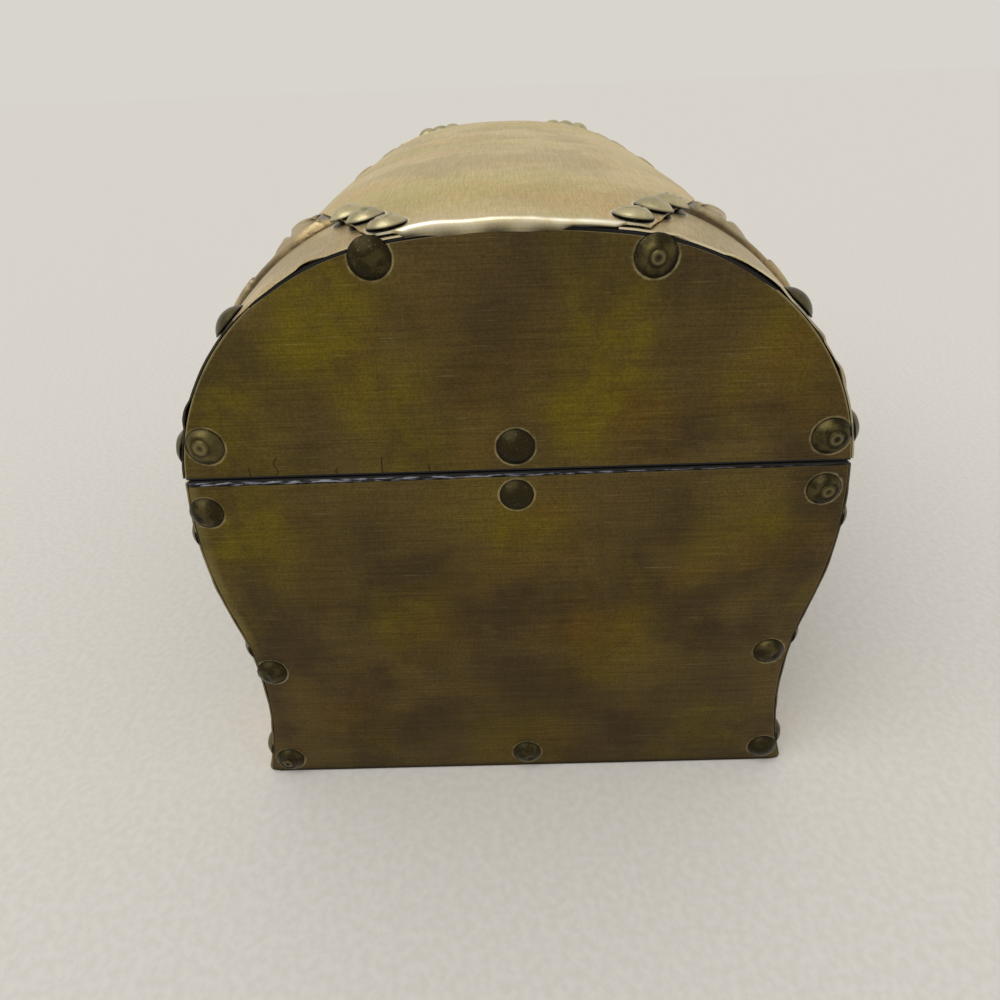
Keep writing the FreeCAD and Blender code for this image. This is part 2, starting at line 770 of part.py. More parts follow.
def make_hinges():
    """Two hinges, each with a leaf on the body, a leaf on the lid and a pin."""
    axis = hinge_axis()
    inner, outer = hinge_layer()
    edge = hinge_knuckle_radius + hinge_knuckle_gap
    lid_layer = lid_shell(inner, outer, lid_base)
    for end in (-1, 1):
        x = end * hinge_place_share * half_length
        start = x - hinge_width / 2
        finish = x + hinge_width / 2
        lid_spans, body_spans = hinge_knuckle_spans(x)
        bore = pin_hole(start, finish)
        leaf = body_shell(inner, outer, axis.z - edge - hinge_leaf_reach, axis.z - edge, start, finish, 1)
        body_leaf = join([leaf] + [knuckle(low, high, -1) for low, high in body_spans]).cut(bore)
        write("hinge_" + side_name(end) + "_body_leaf", body_leaf)
        room = block(Vector(start, 0, axis.z + edge),
                     Vector(finish, trunk_reach, axis.z + edge + hinge_leaf_reach))
        leaf = lid_layer.common(room)
        lid_leaf = join([leaf] + [knuckle(low, high, 1) for low, high in lid_spans]).cut(bore)
        write("hinge_" + side_name(end) + "_lid_leaf", lid_leaf)
        write("hinge_" + side_name(end) + "_pin", hinge_pin(start, finish))


def hinge_pin(start, finish):
    """A pin through the knuckles with a head at each end."""
    axis = hinge_axis()
    along = Vector(1, 0, 0)
    reach = hinge_knuckle_gap + hinge_pin_head_length
    shaft = Part.makeCylinder(hinge_pin_radius, finish - start + reach + reach,
                              Vector(start - reach, axis.y, axis.z), along)
    heads = []
    for place in (start - reach, finish + hinge_knuckle_gap):
        heads.append(Part.makeCylinder(hinge_pin_head_radius, hinge_pin_head_length,
                                       Vector(place, axis.y, axis.z), along))
    return join([shaft] + heads)


def make_hinge_screws():
    """Three round-headed screws in each leaf."""
    axis = hinge_axis()
    outer = hinge_layer()[1]
    template = dome_nail(hinge_screw_diameter, hinge_screw_shank_diameter, nail_shank_length)
    edge = hinge_knuckle_radius + hinge_knuckle_gap + hinge_leaf_reach / 2
    body_screws = []
    lid_screws = []
    for end in (-1, 1):
        for step in (-1, 0, 1):
            x = end * hinge_place_share * half_length + step * hinge_screw_spread_share * hinge_width
            height = axis.z - edge
            outward = body_normal(height)
            point = Vector(x, body_half_width(height, outer), height)
            body_screws.append(driven(template, point, outward))
            point, outward = lid_side(x, axis.z + edge - lid_base, outer, 1)
            lid_screws.append(driven(template, point, outward))
    write("hinge_body_screws", Part.makeCompound(body_screws))
    write("hinge_lid_screws", Part.makeCompound(lid_screws))


# Latch on the front

def latch_plane():
    """Distance in front of the middle of the hook's rear face, clear of the rosette and the ridges."""
    rosette_face = bulge_half_width + skin_outer + latch_rosette_thickness + layer_play
    ridge_faces = []
    for low in body_ridge_heights():
        for height in (low, low + ridge_width):
            ridge_faces.append(body_half_width(height, skin_outer + ridge_relief))
    return max(rosette_face, max(ridge_faces)) + latch_face_gap


def latch_reach():
    """Distance from the hook's pivot up to the stud on the lid."""
    return lid_base + latch_stud_rise - latch_pivot_height


def disc_across(height, radius, near, far):
    """A round block along Y at a height on the front, between two distances from the middle."""
    return Part.makeCylinder(radius, far - near, Vector(0, -near, height), Vector(0, -1, 0))


def make_latch_rosettes():
    """Two thin round plates that follow the sheet metal under the pivot and the stud."""
    inner = skin_outer + layer_play
    outer = inner + latch_rosette_thickness
    radius = latch_rosette_diameter / 2
    high = lid_base + latch_stud_rise
    body = body_shell(inner, outer, latch_pivot_height - latch_rosette_diameter, body_height,
                      -latch_rosette_diameter, latch_rosette_diameter, -1)
    write("latch_body_rosette", body.common(disc_across(latch_pivot_height, radius, 0, trunk_reach)))
    lid = lid_shell(inner, outer, lid_base)
    write("latch_lid_rosette", lid.common(disc_across(high, radius, 0, trunk_reach)))


def headed_post(height, start, radius):
    """A post that stands out of the front, with a head in front of the hook."""
    shoulder = latch_plane() + hook_thickness + latch_face_gap
    post = disc_across(height, radius, start, shoulder)
    head = disc_across(height, latch_post_head_radius, shoulder, shoulder + latch_post_head_length)
    return post.fuse(head)


def make_latch():
    """The hook, the post that it turns on and the stud that it catches."""
    pivot_start = bulge_half_width - latch_post_shank
    stud_height = lid_base + latch_stud_rise
    stud_start = abs(lid_side(0, latch_stud_rise, 0, -1)[0].y) - latch_post_shank
    write("latch_pivot_post", headed_post(latch_pivot_height, pivot_start, latch_post_radius))
    write("latch_stud", headed_post(stud_height, stud_start, latch_post_radius))
    near = latch_plane()
    far = near + hook_thickness
    reach = latch_reach()
    eye = disc_across(latch_pivot_height, hook_eye_radius, near, far)
    tip_height = latch_pivot_height - reach
    tip = disc_across(tip_height, hook_tip_radius, near, far)
    arm = block(Vector(-hook_arm_width / 2, -far, tip_height),
                Vector(hook_arm_width / 2, -near, latch_pivot_height))
    hole = disc_across(latch_pivot_height, latch_post_radius + latch_play, near - overrun, far + overrun)
    hook = join([eye, tip, arm]).cut(hole).cut(hook_notch(near, far))
    write("latch_hook", hook)


def hook_notch(near, far):
    """The curved slot in the hook's tip that follows the stud as the hook turns."""
    reach = latch_reach()
    half = latch_post_radius + hook_notch_play
    centre = Vector(0, -near + overrun, latch_pivot_height)
    ring = Part.makeCylinder(reach + half, far - near + overrun + overrun, centre, Vector(0, -1, 0))
    core = Part.makeCylinder(reach - half, far - near + overrun + overrun, centre, Vector(0, -1, 0))
    turn = math.radians(hook_notch_turn)
    wedge_reach = reach + reach
    corners = [Vector(0, 0, 0), Vector(0, 0, -wedge_reach),
               Vector(wedge_reach * math.sin(turn), 0, -wedge_reach * math.cos(turn)), Vector(0, 0, 0)]
    wedge = Part.Face(Part.makePolygon(corners)).extrude(Vector(0, -(far - near) - overrun - overrun, 0))
    wedge.translate(centre)
    seat = disc_across(latch_pivot_height - reach, half, near - overrun, far + overrun)
    return ring.cut(core).common(wedge).fuse(seat)


def main():
    """Build and write every piece."""
    os.makedirs("parts", exist_ok=True)
    make_body_boards()
    make_body_linings()
    make_body_plates()
    make_body_panels()
    make_body_bands()
    make_body_nails()
    make_lid_boards()
    make_lid_linings()
    make_lid_plates()
    make_crown_sheet()
    make_lid_panels()
    make_lid_bands()
    make_lid_nails()
    make_crown_nails()
    make_hinges()
    make_hinge_screws()
    make_latch_rosettes()
    make_latch()
    print("crown radius", round(crown_radius, 2), "sway radius", round(sway_radius, 2))
    print("hinge axis", hinge_axis(), "latch plane", latch_plane(), "latch reach", latch_reach())


main()
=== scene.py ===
import logging
import math
from dataclasses import dataclass
from enum import Enum
from typing import Any, Dict, List, Optional, Sequence, Tuple, Union

import bmesh
import bpy
import numpy as np
from mathutils import Matrix, Vector


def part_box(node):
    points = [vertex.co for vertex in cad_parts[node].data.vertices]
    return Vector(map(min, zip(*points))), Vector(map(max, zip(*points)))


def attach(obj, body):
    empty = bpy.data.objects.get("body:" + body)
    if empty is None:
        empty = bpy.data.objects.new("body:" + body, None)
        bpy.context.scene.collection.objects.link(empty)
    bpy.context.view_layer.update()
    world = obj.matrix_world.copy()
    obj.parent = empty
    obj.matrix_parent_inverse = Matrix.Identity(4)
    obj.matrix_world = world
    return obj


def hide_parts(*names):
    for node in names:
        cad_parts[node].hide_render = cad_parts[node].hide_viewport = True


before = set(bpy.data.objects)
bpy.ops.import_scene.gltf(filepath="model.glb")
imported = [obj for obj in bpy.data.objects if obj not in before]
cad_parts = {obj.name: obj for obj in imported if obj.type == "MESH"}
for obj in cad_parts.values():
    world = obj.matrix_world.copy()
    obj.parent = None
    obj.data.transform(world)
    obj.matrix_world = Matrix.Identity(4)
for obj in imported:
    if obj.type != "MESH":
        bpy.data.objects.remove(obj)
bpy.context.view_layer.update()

# Small domed trunk: wooden boards clad in antiqued sheet brass that domed nails hold down.
# The photographed end is at +X, the hook latch on the front at -Y, the hinges at +Y.
# Sizes are in millimetres, and meshes are made in metres.

MM = 0.001
SHEET = 0.5
PLAY = 0.15
PLATE_INSET = 0.8
BAND_WIDTH = 30.0
BAND_JOINT = 0.3
FLOOR_CLEARANCE = 0.6
# Near-black laid over brass wherever a mesh marks grime or painted shade: darker dents in nail heads, and
# painted shade under nail rims, at the body plates' bottom edge, along the bands' outer ends and down the
# crown sheet's lip.
SHADE_AND_GRIME = "#15120b"

log = logging.getLogger("trunk")

Grid = np.ndarray
Socket = bpy.types.NodeSocket
Link = Union[Socket, float, Tuple[float, ...]]
Amount = Union[Socket, str, float]
Spot = Tuple[float, float, float, float]


class Named(Enum):
    """A choice whose options have a word in node names."""

    @property
    def word(self) -> str:
        """The option's word in node names."""
        return self.name.lower()


class Part(Named):
    """The moving bodies of the trunk, by their names in the CAD model."""

    BODY = "trunk_body"
    LID = "trunk_lid"
    HOOK = "latch_hook"


class End(Named):
    """The two ends of the trunk."""

    LEFT = -1
    RIGHT = 1


class Face(Named):
    """The two long sides of the trunk."""

    FRONT = -1
    BACK = 1


class Brush(Enum):
    """The way that the brush lines run over a sheet."""

    ALONG_LENGTH = (1, 0, 0)
    ACROSS = (0, 1, 0)
    UPRIGHT = (0, 0, 1)


class NailStyle(Enum):
    """How a nail's head was struck."""

    SMOOTH = 0
    RINGED = 1
    CRATERED = 2
    DENTED = 3


# Colours and shader nodes

def linear(colour: str) -> Tuple[float, float, float, float]:
    """Turn a colour written in hex into linear values.

    Args:
        colour: Hex colour with a leading hash sign, as a screen shows it.

    Returns:
        Red, green, blue and full opacity, linear.
    """
    values = [int(colour[place:place + 2], 16) / 255 for place in (1, 3, 5)]
    red, green, blue = [v / 12.92 if v <= 0.04045 else ((v + 0.055) / 1.055) ** 2.4 for v in values]
    return red, green, blue, 1.0


def feed(tree: bpy.types.NodeTree, node: bpy.types.Node, inputs: Dict[Union[str, int], Any]) -> None:
    """Give a node its inputs.

    Args:
        tree: Tree that holds the node.
        node: The node.
        inputs: Value, or socket to link from, for each input by name or number.
    """
    for key, value in inputs.items():
        if isinstance(value, Socket):
            tree.links.new(value, node.inputs[key])
        else:
            node.inputs[key].default_value = value


def add_node(tree: bpy.types.NodeTree, kind: str, settings: Optional[Dict[str, Any]] = None,
             inputs: Optional[Dict[Union[str, int], Any]] = None) -> bpy.types.Node:
    """Add one node with its settings and what goes into it.

    Args:
        tree: Tree that gets the node.
        kind: Blender's type name of the node.
        settings: Properties of the node by name.
        inputs: Value, or socket to link from, for each input by name or number.

    Returns:
        The new node.
    """
    node = tree.nodes.new(kind)
    for name, value in (settings or {}).items():
        setattr(node, name, value)
    feed(tree, node, inputs or {})
    return node


@dataclass(frozen=True)
class Bump:
    """One unevenness of a surface: how strong, how deep in millimetres, and its pattern."""

    strength: float
    depth: float
    pattern: Socket
    sunk: bool = False


class Surface:
    """A material in the making: patterns measured in millimetres, and colours laid one over another."""

    def __init__(self, name: str, ground: str) -> None:
        """Start with a ground colour.

        Args:
            name: The material's name.
            ground: Colour that the others are laid over.
        """
        self.material = bpy.data.materials.new(name)
        self.material.use_nodes = True
        self.tree = self.material.node_tree
        self.colour: Link = linear(ground)
        place = add_node(self.tree, "ShaderNodeTexCoord").outputs["Object"]
        self.place = add_node(self.tree, "ShaderNodeVectorMath", {"operation": "SCALE"},
                              {0: place, "Scale": 1 / MM}).outputs[0]

    def grain(self, size: Union[float, Tuple[float, ...]], detail: float, shift: float = 0.0) -> Socket:
        """Noise from 0 to 1 whose spots have a real size.

        Args:
            size: Size of a spot in millimetres, or its sizes along X, Y and Z.
            detail: How many finer layers the noise has.
            shift: Distance that sets this noise apart from others.

        Returns:
            The noise.
        """
        sizes = size if isinstance(size, tuple) else (size,) * 3
        scaled = add_node(self.tree, "ShaderNodeVectorMath", {"operation": "MULTIPLY_ADD"},
                          {0: self.place, 1: tuple(1 / length for length in sizes), 2: (shift,) * 3})
        return add_node(self.tree, "ShaderNodeTexNoise", {}, {
            "Vector": scaled.outputs[0], "Scale": 1.0, "Detail": detail, "Roughness": 0.55}).outputs[0]

    def read(self, value: Amount) -> Link:
        """Read a mark that the mesh holds at its points.

        Args:
            value: The mark's name. A number or socket stays as it is.

        Returns:
            The mark's socket, or the number or socket.
        """
        if isinstance(value, str):
            return add_node(self.tree, "ShaderNodeAttribute", {"attribute_name": value}).outputs["Fac"]
        return value

    def share(self, pattern: Amount, low: float, high: float, to_low: float = 0.0, to_high: float = 1.0,
              smooth: bool = True) -> Socket:
        """How much of something there is, where a pattern or mark lies between two values.

        Args:
            pattern: Pattern, or name of a mark.
            low: Value that becomes to_low.
            high: Value that becomes to_high.
            to_low: Lower end of the result.
            to_high: Upper end of the result.
            smooth: Whether the step eases in and out.

        Returns:
            The amount.
        """
        kind = {"interpolation_type": "SMOOTHSTEP" if smooth else "LINEAR"}
        return add_node(self.tree, "ShaderNodeMapRange", kind, {
            "Value": self.read(pattern), "From Min": low, "From Max": high, "To Min": to_low,
            "To Max": to_high}).outputs[0]

    def joined(self, operation: str, *amounts: Amount) -> Link:
        """Join amounts into one, kept between 0 and 1 for all but a product.

        Args:
            operation: Blender's name of the sum.
            amounts: Numbers, sockets or names of marks.

        Returns:
            The joined amount.
        """
        total = self.read(amounts[0])
        for amount in amounts[1:]:
            total = add_node(self.tree, "ShaderNodeMath", {
                "operation": operation, "use_clamp": operation != "MULTIPLY"},
                {0: total, 1: self.read(amount)}).outputs[0]
        return total

    def lay(self, colour: str, *amounts: Amount) -> None:
        """Lay a colour over the others, as much as the product of some amounts."""
        self.colour = add_node(self.tree, "ShaderNodeMix", {"data_type": "RGBA"}, {
            0: self.joined("MULTIPLY", *amounts), 6: self.colour, 7: linear(colour)}).outputs[2]

    def finished(self, roughness: Link, bumps: Sequence[Bump] = (), polish: Optional[Dict[str, float]] = None
                 ) -> bpy.types.Material:
        """Give the shader its colour, gloss and unevenness.

        Args:
            roughness: How matt the surface is.
            bumps: Its unevennesses, one over the other.
            polish: Further values of the shader.

        Returns:
            The material.
        """
        inputs = {"Base Color": self.colour, "Roughness": roughness, **(polish or {})}
        for bump in bumps:
            under = {"Normal": inputs["Normal"]} if "Normal" in inputs else {}
            inputs["Normal"] = add_node(self.tree, "ShaderNodeBump", {"invert": bump.sunk}, {
                "Strength": bump.strength, "Distance": bump.depth * MM, "Height": bump.pattern,
                **under}).outputs[0]
        feed(self.tree, self.tree.nodes["Principled BSDF"], inputs)
        return self.material


# Finishes

@dataclass(frozen=True)
class AntiquedBrass:
    """Sheet brass, darkened in a bath, sponged with green and amber, brushed and waxed.

    The brush leaves fine streaks, the cross strokes a linen-like grain, and edges and high
    places are rubbed back to pale metal. On the crown sheet's fold and the bands' outer
    ends, that paleness is partly a painted highlight.
    """

    name: str
    tone: str
    shade: str
    green: str
    amber: str
    rubbed: str
    brush: Brush
    line_pitch: float = 0.55
    line_length: float = 26.0
    patch_size: float = 34.0
    mottle_size: float = 7.0
    speck_size: float = 0.7
    streak_strength: float = 0.15
    weave_strength: float = 0.08
    speck_strength: float = 0.12
    scratch_strength: float = 0.14
    patch_strength: float = 0.5
    ring_strength: float = 0.6
    roughness: float = 0.42
    wax: float = 0.3
    relief_rub: float = 0.0
    punched_pitch: float = 0.0

    def stretched(self, lengthwise: float, crosswise: float) -> Tuple[float, float, float]:
        """Sizes of a spot that is long along the brush, as millimetres along X, Y and Z."""
        return tuple(lengthwise if along else crosswise for along in self.brush.value)

    def build(self) -> bpy.types.Material:
        """Make the material.

        Returns:
            The material.
        """
        sheet = Surface(self.name, self.shade)
        length, pitch = self.line_length, self.line_pitch
        streaks = sheet.grain(self.stretched(length, pitch), 3.0)
        hairs = sheet.grain(self.stretched(length / 2, pitch / 2), 1.0, 40.0)
        threads = sheet.grain(self.stretched(pitch * 1.3, length / 2), 2.0, 15.0)
        specks = sheet.grain(self.speck_size, 2.0, 7.0)
        blotches = sheet.grain(self.patch_size * 0.8, 4.0, 21.0)
        mottle = sheet.grain(self.mottle_size, 4.0, 31.0)

        sheet.lay(self.tone, sheet.share(sheet.grain(self.patch_size, 3.0, 3.0), 0.38, 0.62))
        for title, colour, blotched, faded in (
                ("green", self.green, (0.54, 0.68), (0.3, 0.62, 0.45, 1.0)),
                ("amber", self.amber, (0.46, 0.34), (0.62, 0.36, 0.4, 1.0))):
            patches = sheet.joined("ADD", title, sheet.share(blotches, *blotched, 0.0, self.patch_strength))
            sheet.lay(colour, patches, sheet.share(mottle, *faded))
        sheet.lay(self.shade, "dark")

        brushed = ((streaks, self.streak_strength), (threads, self.weave_strength),
                   (specks, self.speck_strength))
        level = sheet.joined("MULTIPLY", *(sheet.share(pattern, 0.3, 0.7, 1 - strength, 1 + strength, False)
                                           for pattern, strength in brushed))
        sheet.colour = add_node(sheet.tree, "ShaderNodeVectorMath", {"operation": "SCALE"},
                                {0: sheet.colour, "Scale": level}).outputs[0]
        sheet.lay(self.rubbed, sheet.share(hairs, 0.68, 0.8, 0.0, self.scratch_strength))
        if self.relief_rub:
            sheet.lay(self.rubbed, sheet.share("relief", 0.45, 1.0, 0.0, self.relief_rub),
                      sheet.share(mottle, 0.3, 0.6, 0.55, 1.0))
        sheet.lay(self.rubbed, sheet.share("near_nail", 0.70, 0.86, 0.0, self.ring_strength),
                  sheet.share(mottle, 0.36, 0.6, 0.2, 1.0))
        # Painted shade: a near-black ring on the sheet right at each nail head's rim.
        sheet.lay(SHADE_AND_GRIME, sheet.share("near_nail", 0.9, 0.99, 0.0, 0.8))
        # Pale rubbed edges. On the crown sheet's fold and the bands' outer ends, this is partly a painted
        # highlight.
        sheet.lay(self.rubbed, "edge", sheet.share(mottle, 0.32, 0.55, 0.55, 1.0))
        # Near-black where the mesh marks grime or painted shade.
        sheet.lay(SHADE_AND_GRIME, "hollow")

        lines = sheet.joined("ADD", sheet.joined("MULTIPLY", streaks, 0.6),
                             sheet.joined("MULTIPLY", threads, 0.1))
        bumps = [Bump(0.35, 0.05, lines)]
        if self.punched_pitch:
            cells = add_node(sheet.tree, "ShaderNodeTexVoronoi", {"feature": "F1"}, {
                "Vector": sheet.place, "Scale": 1 / self.punched_pitch, "Randomness": 0.6})
            dots = sheet.joined("MULTIPLY", sheet.share(cells.outputs[0], 0.45, 0.1),
                                sheet.share("relief", 0.25, 0.05))
            bumps.append(Bump(0.6, 0.25, dots, True))
        matt = sheet.share(streaks, 0.3, 0.7, self.roughness + 0.07, self.roughness - 0.05, False)
        return sheet.finished(matt, bumps, {"Metallic": 1.0, "Coat Weight": self.wax, "Coat Roughness": 0.5})


@dataclass(frozen=True)
class StruckBrass:
    """Nail heads stamped from brass: darkened, with a rubbed rim, darker dents, and painted shade under the
    rim.
    """

    name: str
    tone: str
    shade: str
    rubbed: str
    cloud_size: float = 4.0
    speck_size: float = 0.5
    roughness: float = 0.32
    wax: float = 0.25

    def build(self) -> bpy.types.Material:
        """Make the material.

        Returns:
            The material.
        """
        head = Surface(self.name, self.tone)
        clouds = head.grain(self.cloud_size, 3.0)
        specks = head.grain(self.speck_size, 2.0, 9.0)
        head.lay(self.shade, head.joined("ADD", "tarnish", head.share(clouds, 0.35, 0.65, 0.0, 0.3)))
        head.lay(self.rubbed, head.share(specks, 0.62, 0.78, 0.0, 0.3))
        # Near-black in the dents of a struck head, and painted shade under its rim.
        head.lay(SHADE_AND_GRIME, "hollow")
        head.lay(self.rubbed, "edge", head.share(clouds, 0.3, 0.6, 0.5, 1.0))
        matt = head.share(specks, 0.3, 0.7, self.roughness - 0.05, self.roughness + 0.1)
        return head.finished(matt, [Bump(0.25, 0.06, specks)],
                             {"Metallic": 1.0, "Coat Weight": self.wax, "Coat Roughness": 0.4})


@dataclass(frozen=True)
class StainedSoftwood:
    """Planed softwood, stained brown, its rims and outer edges painted blue-black and scuffed."""

    name: str = "stained_planed_softwood"
    late: str = "#2f1f12"
    early: str = "#5a3c22"
    paint: str = "#040405"
    scuff: str = "#8b8d97"
    ring_width: float = 2.4
    fibre_width: float = 0.4
    scuff_drop: float = 0.85
    half_length: float = 165.0
    rim_height: float = 127.3

    def build(self) -> bpy.types.Material:
        """Make the material.

        Returns:
            The material.
        """
        board = Surface(self.name, self.late)
        tree = board.tree
        rings = board.grain((90.0, self.ring_width, self.ring_width), 3.0)
        fibres = board.grain((18.0, self.fibre_width, self.fibre_width), 1.0, 12.0)
        board.lay(self.early, board.share(rings, 0.36, 0.64))
        board.lay(self.late, board.share(fibres, 0.55, 0.75, 0.0, 0.4))

        along, across, up = add_node(tree, "ShaderNodeSeparateXYZ", {}, {0: board.place}).outputs
        over_rim = add_node(tree, "ShaderNodeMath", {"operation": "SUBTRACT"}, {0: up, 1: self.rim_height})
        from_middle, from_rim = (
            add_node(tree, "ShaderNodeMath", {"operation": "ABSOLUTE"}, {0: distance}).outputs[0]
            for distance in (along, over_rim.outputs[0]))
        painted_end = board.share(from_middle, self.half_length - 0.9, self.half_length - 0.5)
        painted_rim = board.share(from_rim, 3.4, 2.8)
        board.lay(self.paint, board.joined("MAXIMUM", painted_end, painted_rim))
        low = self.rim_height - self.scuff_drop
        board.lay(self.scuff, board.share(up, low + 0.1, low - 0.25), painted_rim,
                  board.share(board.grain((5.0, 5.0, 0.5), 4.0, 5.0), 0.46, 0.6),
                  board.share(across, 90.0, -60.0, 0.5, 1.0))
        planed = board.joined("ADD", board.joined("MULTIPLY", rings, 0.5),
                              board.joined("MULTIPLY", fibres, 0.5))
        return board.finished(0.78, [Bump(0.4, 0.15, planed)])


@dataclass(frozen=True)
class PaperedCard:
    """Stiff card under navy paper: matt, with a faint laid grain and paler rubbed spots."""

    name: str = "navy_papered_card"
    tone: str = "#1b2140"
    shade: str = "#12162b"
    rubbed: str = "#3b4366"
    laid_pitch: float = 1.1
    fibre_width: float = 0.35

    def build(self) -> bpy.types.Material:
        """Make the material.

        Returns:
            The material.
        """
        card = Surface(self.name, self.shade)
        laid = card.grain((30.0, self.laid_pitch, self.laid_pitch), 1.0, 8.0)
        fibres = card.grain((1.6, self.fibre_width, self.fibre_width), 3.0, 17.0)
        card.lay(self.tone, card.share(card.grain(40.0, 3.0), 0.35, 0.65))
        card.lay(self.rubbed, card.share(fibres, 0.6, 0.78, 0.0, 0.5))
        card.lay(self.rubbed, card.share(laid, 0.5, 0.7, 0.0, 0.25))
        uneven = card.joined("ADD", card.joined("MULTIPLY", laid, 0.6), card.joined("MULTIPLY", fibres, 0.4))
        return card.finished(0.85, [Bump(0.3, 0.1, uneven)])


@dataclass(frozen=True)
class Finishes:
    """Every material of the trunk, made once."""

    plate: bpy.types.Material
    crown: bpy.types.Material
    band: bpy.types.Material
    panel: bpy.types.Material
    fitting: bpy.types.Material
    nail: bpy.types.Material
    crown_nail: bpy.types.Material
    screw: bpy.types.Material
    wood: bpy.types.Material
    card: bpy.types.Material

    @classmethod
    def made(cls, form: "TrunkForm") -> "Finishes":
        """Make all materials.

        Args:
            form: The trunk's sizes, for the painted edges of the boards.

        Returns:
            The finishes.
        """
        made_from = {
            # The end plates, crown sheet and bands are one antiqued brass. The plates' dark tone is partly
            # painted shade, and the crown sheet's and bands' pale tones are partly painted light.
            "plate": AntiquedBrass(
                "antiqued_brass_end_plates", tone="#5e4e2c", shade="#483b25", green="#6c5e18",
                amber="#6a4f1b", rubbed="#a89c74", brush=Brush.ACROSS, patch_strength=0.25,
                streak_strength=0.18, weave_strength=0.04, speck_strength=0.2, scratch_strength=0.24,
                wax=0.12),
            "crown": AntiquedBrass(
                "antiqued_brass_crown_sheet", tone="#dcc68f", shade="#c8b37c", green="#ccbd6e",
                amber="#d4b270", rubbed="#f6f0dc", brush=Brush.ALONG_LENGTH, patch_strength=0.35,
                streak_strength=0.1, weave_strength=0.05, wax=0.12),
            "band": AntiquedBrass(
                "antiqued_brass_bands", tone="#d6bf92", shade="#b8a478", green="#b0a058", amber="#b8925a",
                rubbed="#f0e6c8", brush=Brush.ALONG_LENGTH, streak_strength=0.1, wax=0.15),
            "panel": AntiquedBrass(
                "embossed_antiqued_brass", tone="#9a845a", shade="#57482d", green="#7d7340", amber="#94764a",
                rubbed="#dccaa0", brush=Brush.ALONG_LENGTH, streak_strength=0.08, scratch_strength=0.08,
                roughness=0.4, relief_rub=0.75, punched_pitch=1.7),
            "fitting": AntiquedBrass(
                "aged_cast_brass_fittings", tone="#75612f", shade="#4a3c1f", green="#63561f", amber="#76552a",
                rubbed="#c8b075", brush=Brush.UPRIGHT, line_length=6.0, patch_size=9.0, streak_strength=0.1,
                weave_strength=0.06, roughness=0.36),
            "nail": StruckBrass("struck_brass_nails", tone="#857748", shade="#2c2610", rubbed="#b4a678",
                                wax=0.15),
            # The crown nails are the same struck brass as the others, made much paler as painted light where
            # they catch the light from above.
            "crown_nail": StruckBrass("rubbed_struck_brass_crown_nails", tone="#cdc299", shade="#5c5233",
                                      rubbed="#eee6c8", wax=0.15),
            "screw": StruckBrass("brassed_steel_screws", tone="#8a8066", shade="#5a5240", rubbed="#bfb596",
                                 roughness=0.3),
            "wood": StainedSoftwood(half_length=form.half_length,
                                    rim_height=(form.body_height + form.lid_base) / 2),
            "card": PaperedCard()}
        return cls(**{part: finish.build() for part, finish in made_from.items()})


# Sizes and surfaces of the trunk

